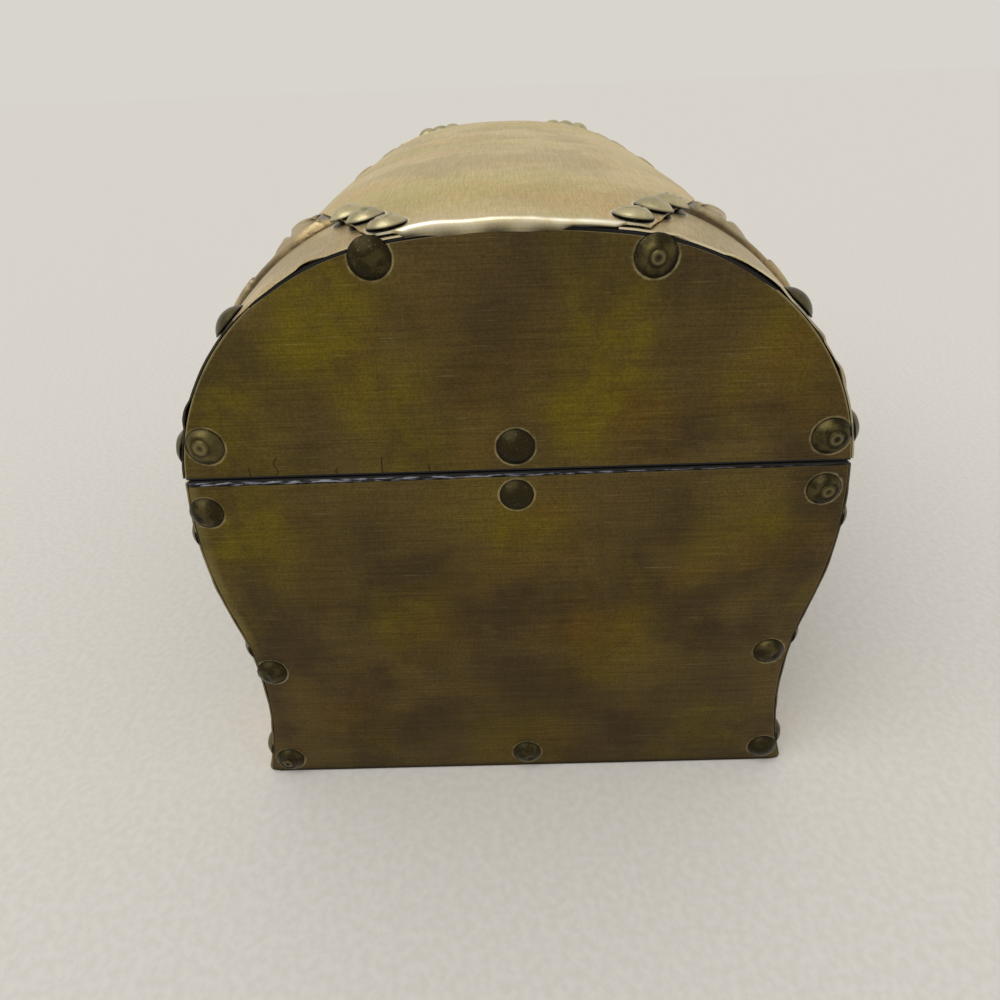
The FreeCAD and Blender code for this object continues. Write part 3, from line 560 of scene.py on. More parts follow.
@dataclass(frozen=True)
class TrunkForm:
    """Length and sections of the trunk, to the outside of the boards."""

    half_length: float
    body_height: float
    bulge_half_width: float
    lid_base: float
    crown_rise: float
    bulge_height: float = 108.0
    bulge_depth: float = 8.9
    waist_height: float = 40.0
    foot_corner_radius: float = 3.0
    crown_flatness: float = 1.6
    shoulder_drop: float = 10.3
    lid_overhang: float = 0.4
    lid_camber: float = 6.0
    camber_power: int = 4
    overrun: float = 2.0
    crown_sheet_middle: float = 74.0
    crown_sheet_end: float = 35.0
    crown_sheet_lift: float = 0.7
    crown_sheet_tuck: float = 7.0

    @classmethod
    def from_frame(cls) -> "TrunkForm":
        """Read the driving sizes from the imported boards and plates.

        Returns:
            The trunk's form.
        """
        board = [corner / MM for corner in map(Vector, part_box("body_right_board"))]
        lid = [corner / MM for corner in map(Vector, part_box("lid_right_board"))]
        plate_top = Vector(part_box("lid_right_plate")[1]).z / MM
        return cls(half_length=board[1].x, body_height=board[1].z, bulge_half_width=board[1].y,
                   lid_base=lid[0].z, crown_rise=plate_top + PLATE_INSET - lid[0].z)

    @property
    def sway_radius(self) -> float:
        """Radius of the body's bulge and waist."""
        rise = self.bulge_height - self.waist_height
        return (self.bulge_depth ** 2 + rise ** 2) / (4 * self.bulge_depth)

    @property
    def shoulder_radius(self) -> float:
        """Radius of the lid's two shoulders."""
        return self.crown_rise + self.shoulder_drop - self.crown_flatness

    @property
    def shoulder_centre(self) -> float:
        """Distance of a shoulder's centre from the middle."""
        rim = float(self.body_side(np.array(self.body_height), 0.0)[0])
        return rim + self.lid_overhang - math.sqrt(self.shoulder_radius ** 2 - self.shoulder_drop ** 2)

    @property
    def crown_radius(self) -> float:
        """Radius of the lid's flat crown."""
        over = self.crown_rise + self.shoulder_drop
        return (over ** 2 + self.shoulder_centre ** 2 - self.shoulder_radius ** 2) / (2 * self.crown_flatness)

    @property
    def crown_half_angle(self) -> float:
        """Angle from the crown's middle to where the shoulder starts."""
        return math.asin(self.shoulder_centre / (self.crown_radius - self.shoulder_radius))

    @property
    def panel_reach(self) -> float:
        """Half length of the embossed panels."""
        return self.half_length - BAND_WIDTH - BAND_JOINT

    def body_side(self, height: Grid, offset: Union[float, Grid]) -> Tuple[Grid, Grid]:
        """Places on a layer over the body's side.

        Args:
            height: Heights on the boards.
            offset: Distance of the layer from the boards.

        Returns:
            Half width and height.
        """
        radius = self.sway_radius
        upper = height >= (self.bulge_height + self.waist_height) / 2
        tilt = np.where(upper, height - self.bulge_height, self.waist_height - height) / radius
        out = np.sqrt(1 - tilt ** 2)
        bulge = self.bulge_half_width - radius + radius * out
        waist = self.bulge_half_width - self.bulge_depth + radius - radius * out
        corner = np.clip(self.foot_corner_radius - height, 0, self.foot_corner_radius)
        drawn_in = self.foot_corner_radius - np.sqrt(self.foot_corner_radius ** 2 - corner ** 2)
        return np.where(upper, bulge, waist) - drawn_in + out * offset, height + tilt * offset

    def layer(self, part: Part, along: Grid, offset: Union[float, Grid], x: Grid, face: Face) -> Grid:
        """Points of a layer over one long side.

        Args:
            part: Body or lid.
            along: Heights on the body, or distances round the lid's section.
            offset: Distance of the layer from the boards.
            x: Places along the length.
            face: Long side that it is on.

        Returns:
            The points.
        """
        on_lid = part is Part.LID
        y, z = self.lid_section(along, offset, np.abs(x)) if on_lid else self.body_side(along, offset)
        return np.stack([x, face.value * y, z], axis=-1)

    def camber(self, x: Grid) -> Grid:
        """How far the lid's section is raised at places along the length."""
        return self.lid_camber * (1 - (x / (self.half_length + self.overrun)) ** self.camber_power)

    def lid_section(self, reach: Grid, offset: Union[float, Grid], x: Grid) -> Tuple[Grid, Grid]:
        """Places on a layer over the lid.

        Args:
            reach: Distance round the section from the crown's middle, positive to the back.
            offset: Distance of the layer from the boards.
            x: Places along the length.

        Returns:
            Place from front to back, and height.
        """
        half = self.crown_half_angle
        across = np.abs(reach)
        crown = np.minimum(across / self.crown_radius, half)
        angle = crown + np.maximum(across - half * self.crown_radius, 0) / self.shoulder_radius
        on_crown = across <= half * self.crown_radius
        out, up = np.sin(angle), np.cos(angle)
        y = np.where(on_crown, self.crown_radius * out, self.shoulder_centre + self.shoulder_radius * out)
        top = self.crown_rise - self.crown_radius
        z = np.where(on_crown, top + self.crown_radius * up, self.shoulder_radius * up - self.shoulder_drop)
        side = np.sign(reach) + (reach == 0)
        return side * (y + out * offset), self.lid_base + z + self.camber(x) + up * offset

    def reach_of_width(self, width: Grid) -> Grid:
        """Distance round the lid's section to where it is so far from the middle.

        Args:
            width: Distance from the middle to the back, level.

        Returns:
            Distance round the section from the crown's middle.
        """
        half = self.crown_half_angle
        tangent = self.crown_radius * math.sin(half)
        crown = self.crown_radius * np.arcsin(np.minimum(width, tangent) / self.crown_radius)
        sine = np.clip((np.maximum(width, tangent) - self.shoulder_centre) / self.shoulder_radius, 0, 1)
        return crown + self.shoulder_radius * (np.arcsin(sine) - half)

    def reach_of_height(self, over_base: float, x: Grid) -> Grid:
        """Distance round the lid's section to a height over the lid's base.

        Args:
            over_base: Height over the lid's base.
            x: Places along the length.

        Returns:
            Distance round the section from the crown's middle.
        """
        rise = over_base - self.camber(x) + self.shoulder_drop
        angle = np.arccos(np.clip(rise / self.shoulder_radius, -1, 1))
        half = self.crown_half_angle
        return half * self.crown_radius + self.shoulder_radius * (angle - half)

    @property
    def crown_edge_radius(self) -> float:
        """Radius of the crown sheet's two bowed edges, seen from above."""
        bow = self.crown_sheet_middle - self.crown_sheet_end
        return (self.half_length ** 2 + bow ** 2) / (2 * bow)

    def crown_edge(self, x: Grid, step: float = 0.0) -> Grid:
        """Half width of the crown sheet.

        Args:
            x: Places along the length.
            step: Distance that the sheet is grown by.

        Returns:
            Half width at each place.
        """
        radius = self.crown_edge_radius
        place = np.minimum(np.abs(x), self.half_length)
        return np.sqrt((radius + step) ** 2 - place ** 2) - (radius - self.crown_sheet_middle)


def ripples(first: Grid, second: Grid, size: float, seed: int) -> Grid:
    """Soft unevenness between -1 and 1, the same each run.

    Args:
        first: Places along one way of a sheet.
        second: Places along the other way.
        size: Usual distance from one swell to the next.
        seed: Seed of this unevenness.

    Returns:
        Height of the unevenness.
    """
    draw = np.random.default_rng(seed)
    total = np.zeros(np.broadcast(first, second).shape)
    waves = 7
    for _ in range(waves):
        turn, phase = draw.uniform(0, math.tau, 2)
        length = size * draw.uniform(0.7, 1.6)
        total += np.sin(math.tau / length * (first * math.cos(turn) + second * math.sin(turn)) + phase)
    return np.clip(total / math.sqrt(waves * 2), -1, 1)


def eased(value: Grid, low: float, high: float) -> Grid:
    """A step from 0 to 1 that eases in and out between two values."""
    share = np.clip((value - low) / (high - low), 0, 1)
    return share * share * (3 - 2 * share)


# Meshes

def stand(name: str, data: bpy.types.ID) -> bpy.types.Object:
    """Make an object of a mesh, light or camera and put it in the scene.

    Args:
        name: The object's name.
        data: The mesh, light or camera.

    Returns:
        The object.
    """
    made = bpy.data.objects.new(name, data)
    bpy.context.scene.collection.objects.link(made)
    return made


def shade(mesh: bpy.types.Mesh, sharp_degrees: float) -> None:
    """Shade a mesh smooth, apart from edges that turn by more than an angle."""
    mesh.polygons.foreach_set("use_smooth", [True] * len(mesh.polygons))
    mesh.set_sharp_from_angle(angle=math.radians(sharp_degrees))


def make_plain(piece: bpy.types.Object) -> None:
    """Turn what a piece's modifiers show into its plain mesh.

    Args:
        piece: The piece, which loses its modifiers.
    """
    plain = bpy.data.meshes.new_from_object(piece.evaluated_get(bpy.context.evaluated_depsgraph_get()))
    piece.modifiers.clear()
    piece.data = plain


def keep_marks(mesh: bpy.types.Mesh, marks: Dict[str, Sequence[float]]) -> None:
    """Keep values at a mesh's points.

    Args:
        mesh: The mesh.
        marks: Values at the points by name.
    """
    for title, values in marks.items():
        mark = mesh.attributes.new(title, "FLOAT", "POINT")
        mark.data.foreach_set("value", np.asarray(values, dtype=float))


def mesh_object(name: str, points: Sequence[Sequence[float]], faces: Sequence[Sequence[int]],
                marks: Dict[str, Grid], sharp_degrees: float = 50.0) -> bpy.types.Object:
    """Make an object from points in millimetres.

    Args:
        name: The object's name.
        points: Its points.
        faces: Its faces as numbers of points.
        marks: Values at the points by name, for the materials.
        sharp_degrees: Angle over which an edge stays sharp.

    Returns:
        The object.
    """
    mesh = bpy.data.meshes.new(name)
    mesh.from_pydata((np.asarray(points) * MM).tolist(), [], faces)
    keep_marks(mesh, marks)
    shade(mesh, sharp_degrees)
    return stand(name, mesh)


def closed_sheet(name: str, face: Grid, back: Grid, marks: Dict[str, Grid],
                 step: int = 9) -> bpy.types.Object:
    """Make a thin closed sheet from a grid of points on its face and one on its back.

    The back has fewer points, because it lies on the boards.

    Args:
        name: The object's name.
        face: Points of the face, columns by rows by three.
        back: Points of the back in the same places.
        marks: Values at the face's points by name.
        step: Face cells to one cell of the back.

    Returns:
        The sheet.
    """
    columns, rows = face.shape[:2]
    front = np.arange(columns * rows).reshape(columns, rows)
    across = sorted(set(range(0, columns - 1, step)) | {columns - 1})
    up = sorted(set(range(0, rows - 1, step)) | {rows - 1})
    kept = np.zeros((columns, rows), dtype=bool)
    kept[np.ix_(across, up)] = True
    kept[[0, -1], :] = True
    kept[:, [0, -1]] = True
    rear = np.full((columns, rows), -1)
    rear[kept] = columns * rows + np.arange(int(kept.sum()))

    a, b, c, d = front[:-1, :-1], front[1:, :-1], front[1:, 1:], front[:-1, 1:]
    faces = np.stack([a, b, c, d], axis=-1).reshape(-1, 4).tolist()
    for left, right in zip(across, across[1:]):
        for low, high in zip(up, up[1:]):
            bottom = [(i, low) for i in (range(left, right) if low == 0 else (left,))]
            far = [(right, j) for j in (range(low, high) if right == columns - 1 else (low,))]
            top = [(i, high) for i in (range(right, left, -1) if high == rows - 1 else (right,))]
            near = [(left, j) for j in (range(high, low, -1) if left == 0 else (high,))]
            faces.append([int(rear[place]) for place in reversed(bottom + far + top + near)])
    border = ([(i, 0) for i in range(columns - 1)] + [(columns - 1, j) for j in range(rows - 1)]
              + [(i, rows - 1) for i in range(columns - 1, 0, -1)] + [(0, j) for j in range(rows - 1, 0, -1)])
    for here, then in zip(border, border[1:] + border[:1]):
        faces.append([int(front[then]), int(front[here]), int(rear[here]), int(rear[then])])

    turned = np.cross(face[1:, :-1] - face[:-1, :-1], face[:-1, 1:] - face[:-1, :-1])
    if np.sum(turned * (face - back)[:-1, :-1]) < 0:
        faces = [numbers[::-1] for numbers in faces]
    points = np.concatenate([face.reshape(-1, 3), back[kept]])
    whole = {title: np.concatenate([values.reshape(-1), values[kept]]) for title, values in marks.items()}
    return mesh_object(name, points, faces, whole)


def border_mark(columns: int, rows: int, sides: Tuple[float, float, float, float] = (1, 1, 1, 1)) -> Grid:
    """Values of a grid that are set along its border, where the cut edge is rubbed bright.

    Args:
        columns: Columns of the grid.
        rows: Rows of the grid.
        sides: Values on the first and last column and on the first and last row.

    Returns:
        The values.
    """
    values = np.zeros((columns, rows))
    values[0, :], values[-1, :] = sides[:2]
    values[:, 0] = np.maximum(values[:, 0], sides[2])
    values[:, -1] = np.maximum(values[:, -1], sides[3])
    return values


def steps(count: int, margin: float, fine_at: Sequence[float] = (), fine: float = 0.0) -> Grid:
    """Shares from 0 to 1 with a narrow first and last step, and narrow steps round some places.

    Args:
        count: Number of even steps.
        margin: Share of the narrow first and last step.
        fine_at: Shares with narrow steps to both sides.
        fine: Share of those steps.

    Returns:
        The shares, rising.
    """
    even = np.linspace(0, 1, count + 1)
    even = [share for share in even if all(abs(share - place) > 1.6 * fine for place in fine_at)]
    extra = [place + hand * fine for place in fine_at for hand in (-1, 0, 1)]
    return np.array(sorted(set(even) | set(extra) | {margin, 1 - margin}))


def near_nails(points: Grid, *nodes: str, reach: float = 3.0) -> Grid:
    """How near a sheet's points are to the rim of a nail: 1 at the rim, 0 from the reach on.

    Args:
        points: Points of the sheet in millimetres.
        nodes: CAD nodes with the nails.
        reach: Distance from a rim that counts as near.

    Returns:
        Nearness at each point.
    """
    gap = np.full(points.shape[:2], 1e6)
    for node in nodes:
        for place in nail_places(node):
            away = np.linalg.norm(points - np.array(place.point) / MM, axis=-1) - place.radius / MM
            gap = np.minimum(gap, away)
    return np.clip(1 - gap / reach, 0, 1)


def blobs(first: Grid, second: Grid, spots: Sequence[Spot]) -> Grid:
    """Soft round patches laid over a sheet.

    Args:
        first: Places along one way of the sheet.
        second: Places along the other way.
        spots: Two middles, size and strength of each patch.

    Returns:
        Strength of the patches, up to 1.
    """
    total = np.zeros(np.broadcast(first, second).shape)
    for middle, height, size, strength in spots:
        total += strength * np.exp(-((first - middle) ** 2 + (second - height) ** 2) / size ** 2)
    return np.clip(total, 0, 1)


def dress(piece: bpy.types.Object, material: bpy.types.Material) -> None:
    """Give a piece or a CAD node one material.

    Args:
        piece: The piece or the node's object.
        material: Its finish.
    """
    if not piece.material_slots:
        piece.data.materials.append(material)
    for place in piece.material_slots:
        place.material = material


def settle(piece: bpy.types.Object, part: Part, material: bpy.types.Material, material_slot: str,
           *nodes: str) -> None:
    """Dress a piece and let it stand for CAD nodes.

    Args:
        piece: The new piece.
        part: Body that it rides on.
        material: Its finish.
        material_slot: The record's slot for that finish; not used.
        nodes: CAD nodes that it stands for.
    """
    dress(piece, material)
    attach(piece, part.value)
    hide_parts(*nodes)
    log.info("%s: %d faces, rides %s", piece.name, len(piece.data.polygons), part.value)


def merged_copy(node: str) -> bmesh.types.BMesh:
    """Copy a CAD node's mesh, with the points that lie on one another merged.

    Args:
        node: CAD node to copy.

    Returns:
        The copy, to be freed after use.
    """
    work = bmesh.new()
    work.from_mesh(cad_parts[node].data)
    bmesh.ops.remove_doubles(work, verts=work.verts, dist=0.001 * MM)
    return work


def eased_copy(node: str, width: float) -> bpy.types.Object:
    """Copy a CAD node with its sharp edges rounded, as a file leaves them.

    Args:
        node: CAD node to copy.
        width: Width of the rounding in millimetres.

    Returns:
        The copy.
    """
    work = merged_copy(node)
    bmesh.ops.dissolve_limit(work, angle_limit=math.radians(0.5), verts=work.verts, edges=work.edges)
    mesh = bpy.data.meshes.new(node + "_piece")
    work.to_mesh(mesh)
    work.free()
    made = stand(node + "_piece", mesh)
    bevel = made.modifiers.new("rounding", "BEVEL")
    bevel.width = width * MM
    bevel.segments = 2
    bevel.limit_method = "ANGLE"
    bevel.angle_limit = math.radians(40)
    make_plain(made)
    shade(made.data, 50)
    return made


# Nails and screws

@dataclass(frozen=True)
class NailPlace:
    """Where one nail or screw is driven in."""

    point: Vector
    outward: Vector
    radius: float


@dataclass(frozen=True)
class NailLook:
    """How one nail looks: its style, the way that its mark leans in degrees, and how dark it is."""

    style: NailStyle
    lean: float
    tarnish: float


def nail_places(node: str) -> List[NailPlace]:
    """Read where the nails of a CAD node are.

    The flat underside of a head is its largest flat face, so that gives place and direction.

    Args:
        node: CAD node whose solids are nails.

    Returns:
        The nails, from the lowest up, the front before the back and the left before the right.
    """
    work = merged_copy(node)
    places: List[NailPlace] = []
    seen: set = set()
    for start in work.verts:
        if start in seen:
            continue
        island, waiting = [], [start]
        seen.add(start)
        while waiting:
            vert = waiting.pop()
            island.append(vert)
            for edge in vert.link_edges:
                other = edge.other_vert(vert)
                if other not in seen:
                    seen.add(other)
                    waiting.append(other)
        flats: Dict[Tuple[float, ...], List[bmesh.types.BMFace]] = {}
        for face in dict.fromkeys(face for vert in island for face in vert.link_faces):
            flats.setdefault(tuple(round(part, 3) for part in face.normal), []).append(face)
        under = max(flats.values(), key=lambda group: sum(face.calc_area() for face in group))
        outward = -under[0].normal.copy()
        level = max(face.calc_center_median().dot(outward) for face in under)
        ring = dict.fromkeys(vert for face in under for vert in face.verts
                             if vert.co.dot(outward) > level - 0.2 * MM)
        middle = sum((vert.co for vert in ring), Vector()) / len(ring)
        radius = max((vert.co - middle).length for vert in ring)
        rim = [vert.co for vert in ring if (vert.co - middle).length > 0.6 * radius]
        places.append(NailPlace(sum(rim, Vector()) / len(rim), outward, radius))
    work.free()
    return sorted(places, key=lambda place: (round(place.point.z, 4), round(place.point.y, 4), place.point.x))


def turned_piece(name: str, radii: Grid, heights: Grid, marks: Dict[str, Grid], turns: int,
                 sharp_degrees: float) -> bpy.types.Object:
    """Make a turned head of radius 1 from rings of points, closed at both ends.

    Args:
        name: The object's name.
        radii: Radius of each ring.
        heights: Height of each ring's points, rings by places.
        marks: Values at the points by name.
        turns: Places round each ring.
        sharp_degrees: Angle over which an edge stays sharp.

    Returns:
        The head.
    """
    x, y = circles(radii, turns)
    number = np.arange(heights.size).reshape(heights.shape)
    then = np.roll(number, -1, axis=1)
    faces = np.stack([number[:-1], then[:-1], then[1:], number[1:]], axis=-1).reshape(-1, 4).tolist()
    faces += [number[0][::-1].tolist(), number[-1].tolist()]
    points = np.stack([x, y, heights], axis=-1).reshape(-1, 3) / MM
    return mesh_object(name, points, faces, {title: values.reshape(-1) for title, values in marks.items()},
                       sharp_degrees)


def circles(radii: Grid, turns: int) -> Tuple[Grid, Grid]:
    """Places of the points of some rings, rings by places."""
    turn = np.arange(turns) * math.tau / turns
    return np.outer(radii, np.cos(turn)), np.outer(radii, np.sin(turn))


def ball_cap(radius: Grid, rise: float) -> Grid:
    """Height of a round cap of radius 1 at a distance from its middle."""
    ball = (1 + rise ** 2) / (2 * rise)
    return np.sqrt(np.maximum(ball ** 2 - radius ** 2, 0)) - (ball - rise)


@dataclass(frozen=True)
class NailHead:
    """One nail head of radius 1 with its underside at zero."""

    style: NailStyle
    rise: float = 0.5
    shank: float = 0.33
    shank_length: float = 0.85
    turns: int = 36

    def build(self) -> bpy.types.Object:
        """Make the head by turning its outline, then strike it.

        Returns:
            The head.
        """
        domed = np.linspace(0.95, 0.03, 21)
        radii = np.concatenate([[self.shank, self.shank, 1.0, 1.0, 0.985], domed])
        rim = [-self.shank_length, 0.0, 0.0, 0.035, 0.06]
        heights = np.concatenate([rim, ball_cap(domed, self.rise) + 0.02])
        x, y = circles(radii, self.turns)
        z = np.repeat(heights[:, None], self.turns, axis=1)
        top = np.arange(len(radii))[:, None] > 4
        hollow, edge = np.zeros_like(z), np.zeros_like(z)
        # Painted shade under and round the head's rim.
        hollow[2:6] = ((1.0, ), (0.9, ), (0.6, ), (0.25, ))
        if self.style in (NailStyle.RINGED, NailStyle.CRATERED):
            shift, wide = (0.04, 0.4) if self.style is NailStyle.RINGED else (0.14, 0.48)
            gap = np.hypot(x - shift, y)
            z -= top * (0.09 * np.exp(-((gap - wide) / 0.08) ** 2) + 0.10 * np.exp(-(gap / 0.17) ** 2))
            z -= top * 0.05 * eased(wide - gap, -0.05, 0.1)
            hollow += top * (0.6 * np.exp(-((gap - wide) / 0.07) ** 2) + 0.7 * np.exp(-(gap / 0.14) ** 2))
            edge += top * 0.3 * np.exp(-((gap - 0.25) / 0.07) ** 2)
        if self.style is NailStyle.DENTED:
            gap = np.hypot((x - 0.24) * 1.3, y - 0.1)
            z -= top * 0.12 * np.exp(-(gap / 0.28) ** 2)
            hollow += top * 0.55 * np.exp(-(gap / 0.2) ** 2)
        return turned_piece("head_%d_%s" % (self.style.value, self.style.name.lower()), radii, z,
                            {"hollow": np.clip(hollow, 0, 1), "edge": np.clip(edge, 0, 1)}, self.turns, 60.0)


@dataclass(frozen=True)
class ScrewHead:
    """One round screw head of radius 1 with a slot, its underside at zero."""

    rise: float = 0.52
    slot_half_width: float = 0.13
    slot_depth: float = 0.24
    turns: int = 40

    def build(self) -> bpy.types.Object:
        """Make the head.

        Returns:
            The head.
        """
        domed = np.linspace(0.97, 0.02, 22)
        radii = np.concatenate([[0.4, 0.4, 1.0], domed])
        heights = np.concatenate([[-1.0, 0.0, 0.0], ball_cap(domed, self.rise)])
        z = np.repeat(heights[:, None], self.turns, axis=1)
        sideways = circles(radii, self.turns)[1]
        inside = (np.abs(sideways) < self.slot_half_width) & (np.arange(len(radii))[:, None] > 2)
        z = np.where(inside, np.minimum(z, self.rise - self.slot_depth), z)
        return turned_piece("head_0_screw", radii, z, {"hollow": 0.9 * inside, "edge": np.zeros_like(z)},
                            self.turns, 40.0)


class NailDriver:
    """Sets heads on points with Geometry Nodes, each turned its own way."""

    def __init__(self, name: str, heads: Sequence[bpy.types.Object], material: bpy.types.Material) -> None:
        """Keep the heads and make the tree.

        Args:
            name: Name of the tree.
            heads: Heads to choose from, in the order of their names.
            material: Finish of all heads.
        """
        self.kinds = bpy.data.collections.new(name + "_kinds")
        for head in heads:
            bpy.context.scene.collection.objects.unlink(head)
            self.kinds.objects.link(head)
        self.heads = list(heads)
        self.material = material
        self.tree = self.make_tree(name)

    def make_tree(self, name: str) -> bpy.types.NodeTree:
        """Build the tree that stands a head on every point.

        Args:
            name: Name of the tree.

        Returns:
            The tree.
        """
        tree = bpy.data.node_groups.new(name, "GeometryNodeTree")
        for title, kind in (("Points", "Geometry"), ("Head size", "Float"), ("Heads", "Collection"),
                            ("Finish", "Material")):
            tree.interface.new_socket(title, in_out="INPUT", socket_type="NodeSocket" + kind)
        tree.interface.new_socket("Nails", in_out="OUTPUT", socket_type="NodeSocketGeometry")
        given = add_node(tree, "NodeGroupInput").outputs
        heads = add_node(tree, "GeometryNodeCollectionInfo", {}, {
            "Collection": given["Heads"], "Separate Children": True, "Reset Children": True})
        kinds = {"outward": "FLOAT_VECTOR", "style": "INT", "radius": "FLOAT", "lean": "FLOAT"}
        outward, style, radius, lean = (
            add_node(tree, "GeometryNodeInputNamedAttribute", {"data_type": kind}, {"Name": title}).outputs[0]
            for title, kind in kinds.items())
        upright = add_node(tree, "FunctionNodeAlignRotationToVector", {"axis": "Z"}, {"Vector": outward})
        spin = add_node(tree, "FunctionNodeAxisAngleToRotation", {}, {"Axis": (0, 0, 1), "Angle": lean})
        turned = add_node(tree, "FunctionNodeRotateRotation", {"rotation_space": "LOCAL"},
                          {0: upright.outputs[0], 1: spin.outputs[0]})
        size = add_node(tree, "ShaderNodeMath", {"operation": "MULTIPLY"}, {0: radius, 1: given["Head size"]})
        stood = add_node(tree, "GeometryNodeInstanceOnPoints", {}, {
            "Points": given["Points"], "Instance": heads.outputs[0], "Pick Instance": True,
            "Instance Index": style, "Rotation": turned.outputs[0], "Scale": size.outputs[0]})
        real = add_node(tree, "GeometryNodeRealizeInstances", {}, {0: stood.outputs[0]})
        done = add_node(tree, "GeometryNodeSetMaterial", {},
                        {0: real.outputs[0], "Material": given["Finish"]})
        add_node(tree, "NodeGroupOutput", {}, {0: done.outputs[0]})
        return tree

    def drive(self, node: str, looks: Sequence[NailLook], head_size: float = 1.0) -> bpy.types.Object:
        """Stand heads where a CAD node has its nails.

        Args:
            node: CAD node with the nails.
            looks: Look of each nail, from the lowest up.
            head_size: Size of the heads against the CAD ones.

        Returns:
            One plain mesh of all heads.
        """
        places = nail_places(node)
        mesh = bpy.data.meshes.new(node + "_points")
        mesh.from_pydata([place.point for place in places], [], [])
        outward = [part for place in places for part in place.outward]
        mesh.attributes.new("outward", "FLOAT_VECTOR", "POINT").data.foreach_set("vector", outward)
        styles = [look.style.value for look in looks]
        mesh.attributes.new("style", "INT", "POINT").data.foreach_set("value", styles)
        keep_marks(mesh, {"radius": [place.radius for place in places],
                          "lean": [math.radians(look.lean) for look in looks],
                          "tarnish": [look.tarnish for look in looks]})
        made = stand(node + "_piece", mesh)
        modifier = made.modifiers.new("heads", "NODES")
        modifier.node_group = self.tree
        values = {"Head size": head_size, "Heads": self.kinds, "Finish": self.material}
        for socket in self.tree.interface.items_tree:
            if socket.in_out == "INPUT" and socket.name in values:
                modifier[socket.identifier] = values[socket.name]
        make_plain(made)
        return made

    def put_away(self) -> None:
        """Delete the loose heads once all nails are driven."""
        for head in self.heads:
            bpy.data.objects.remove(head)
        bpy.data.collections.remove(self.kinds)


# Ornament that is pressed into the side panels

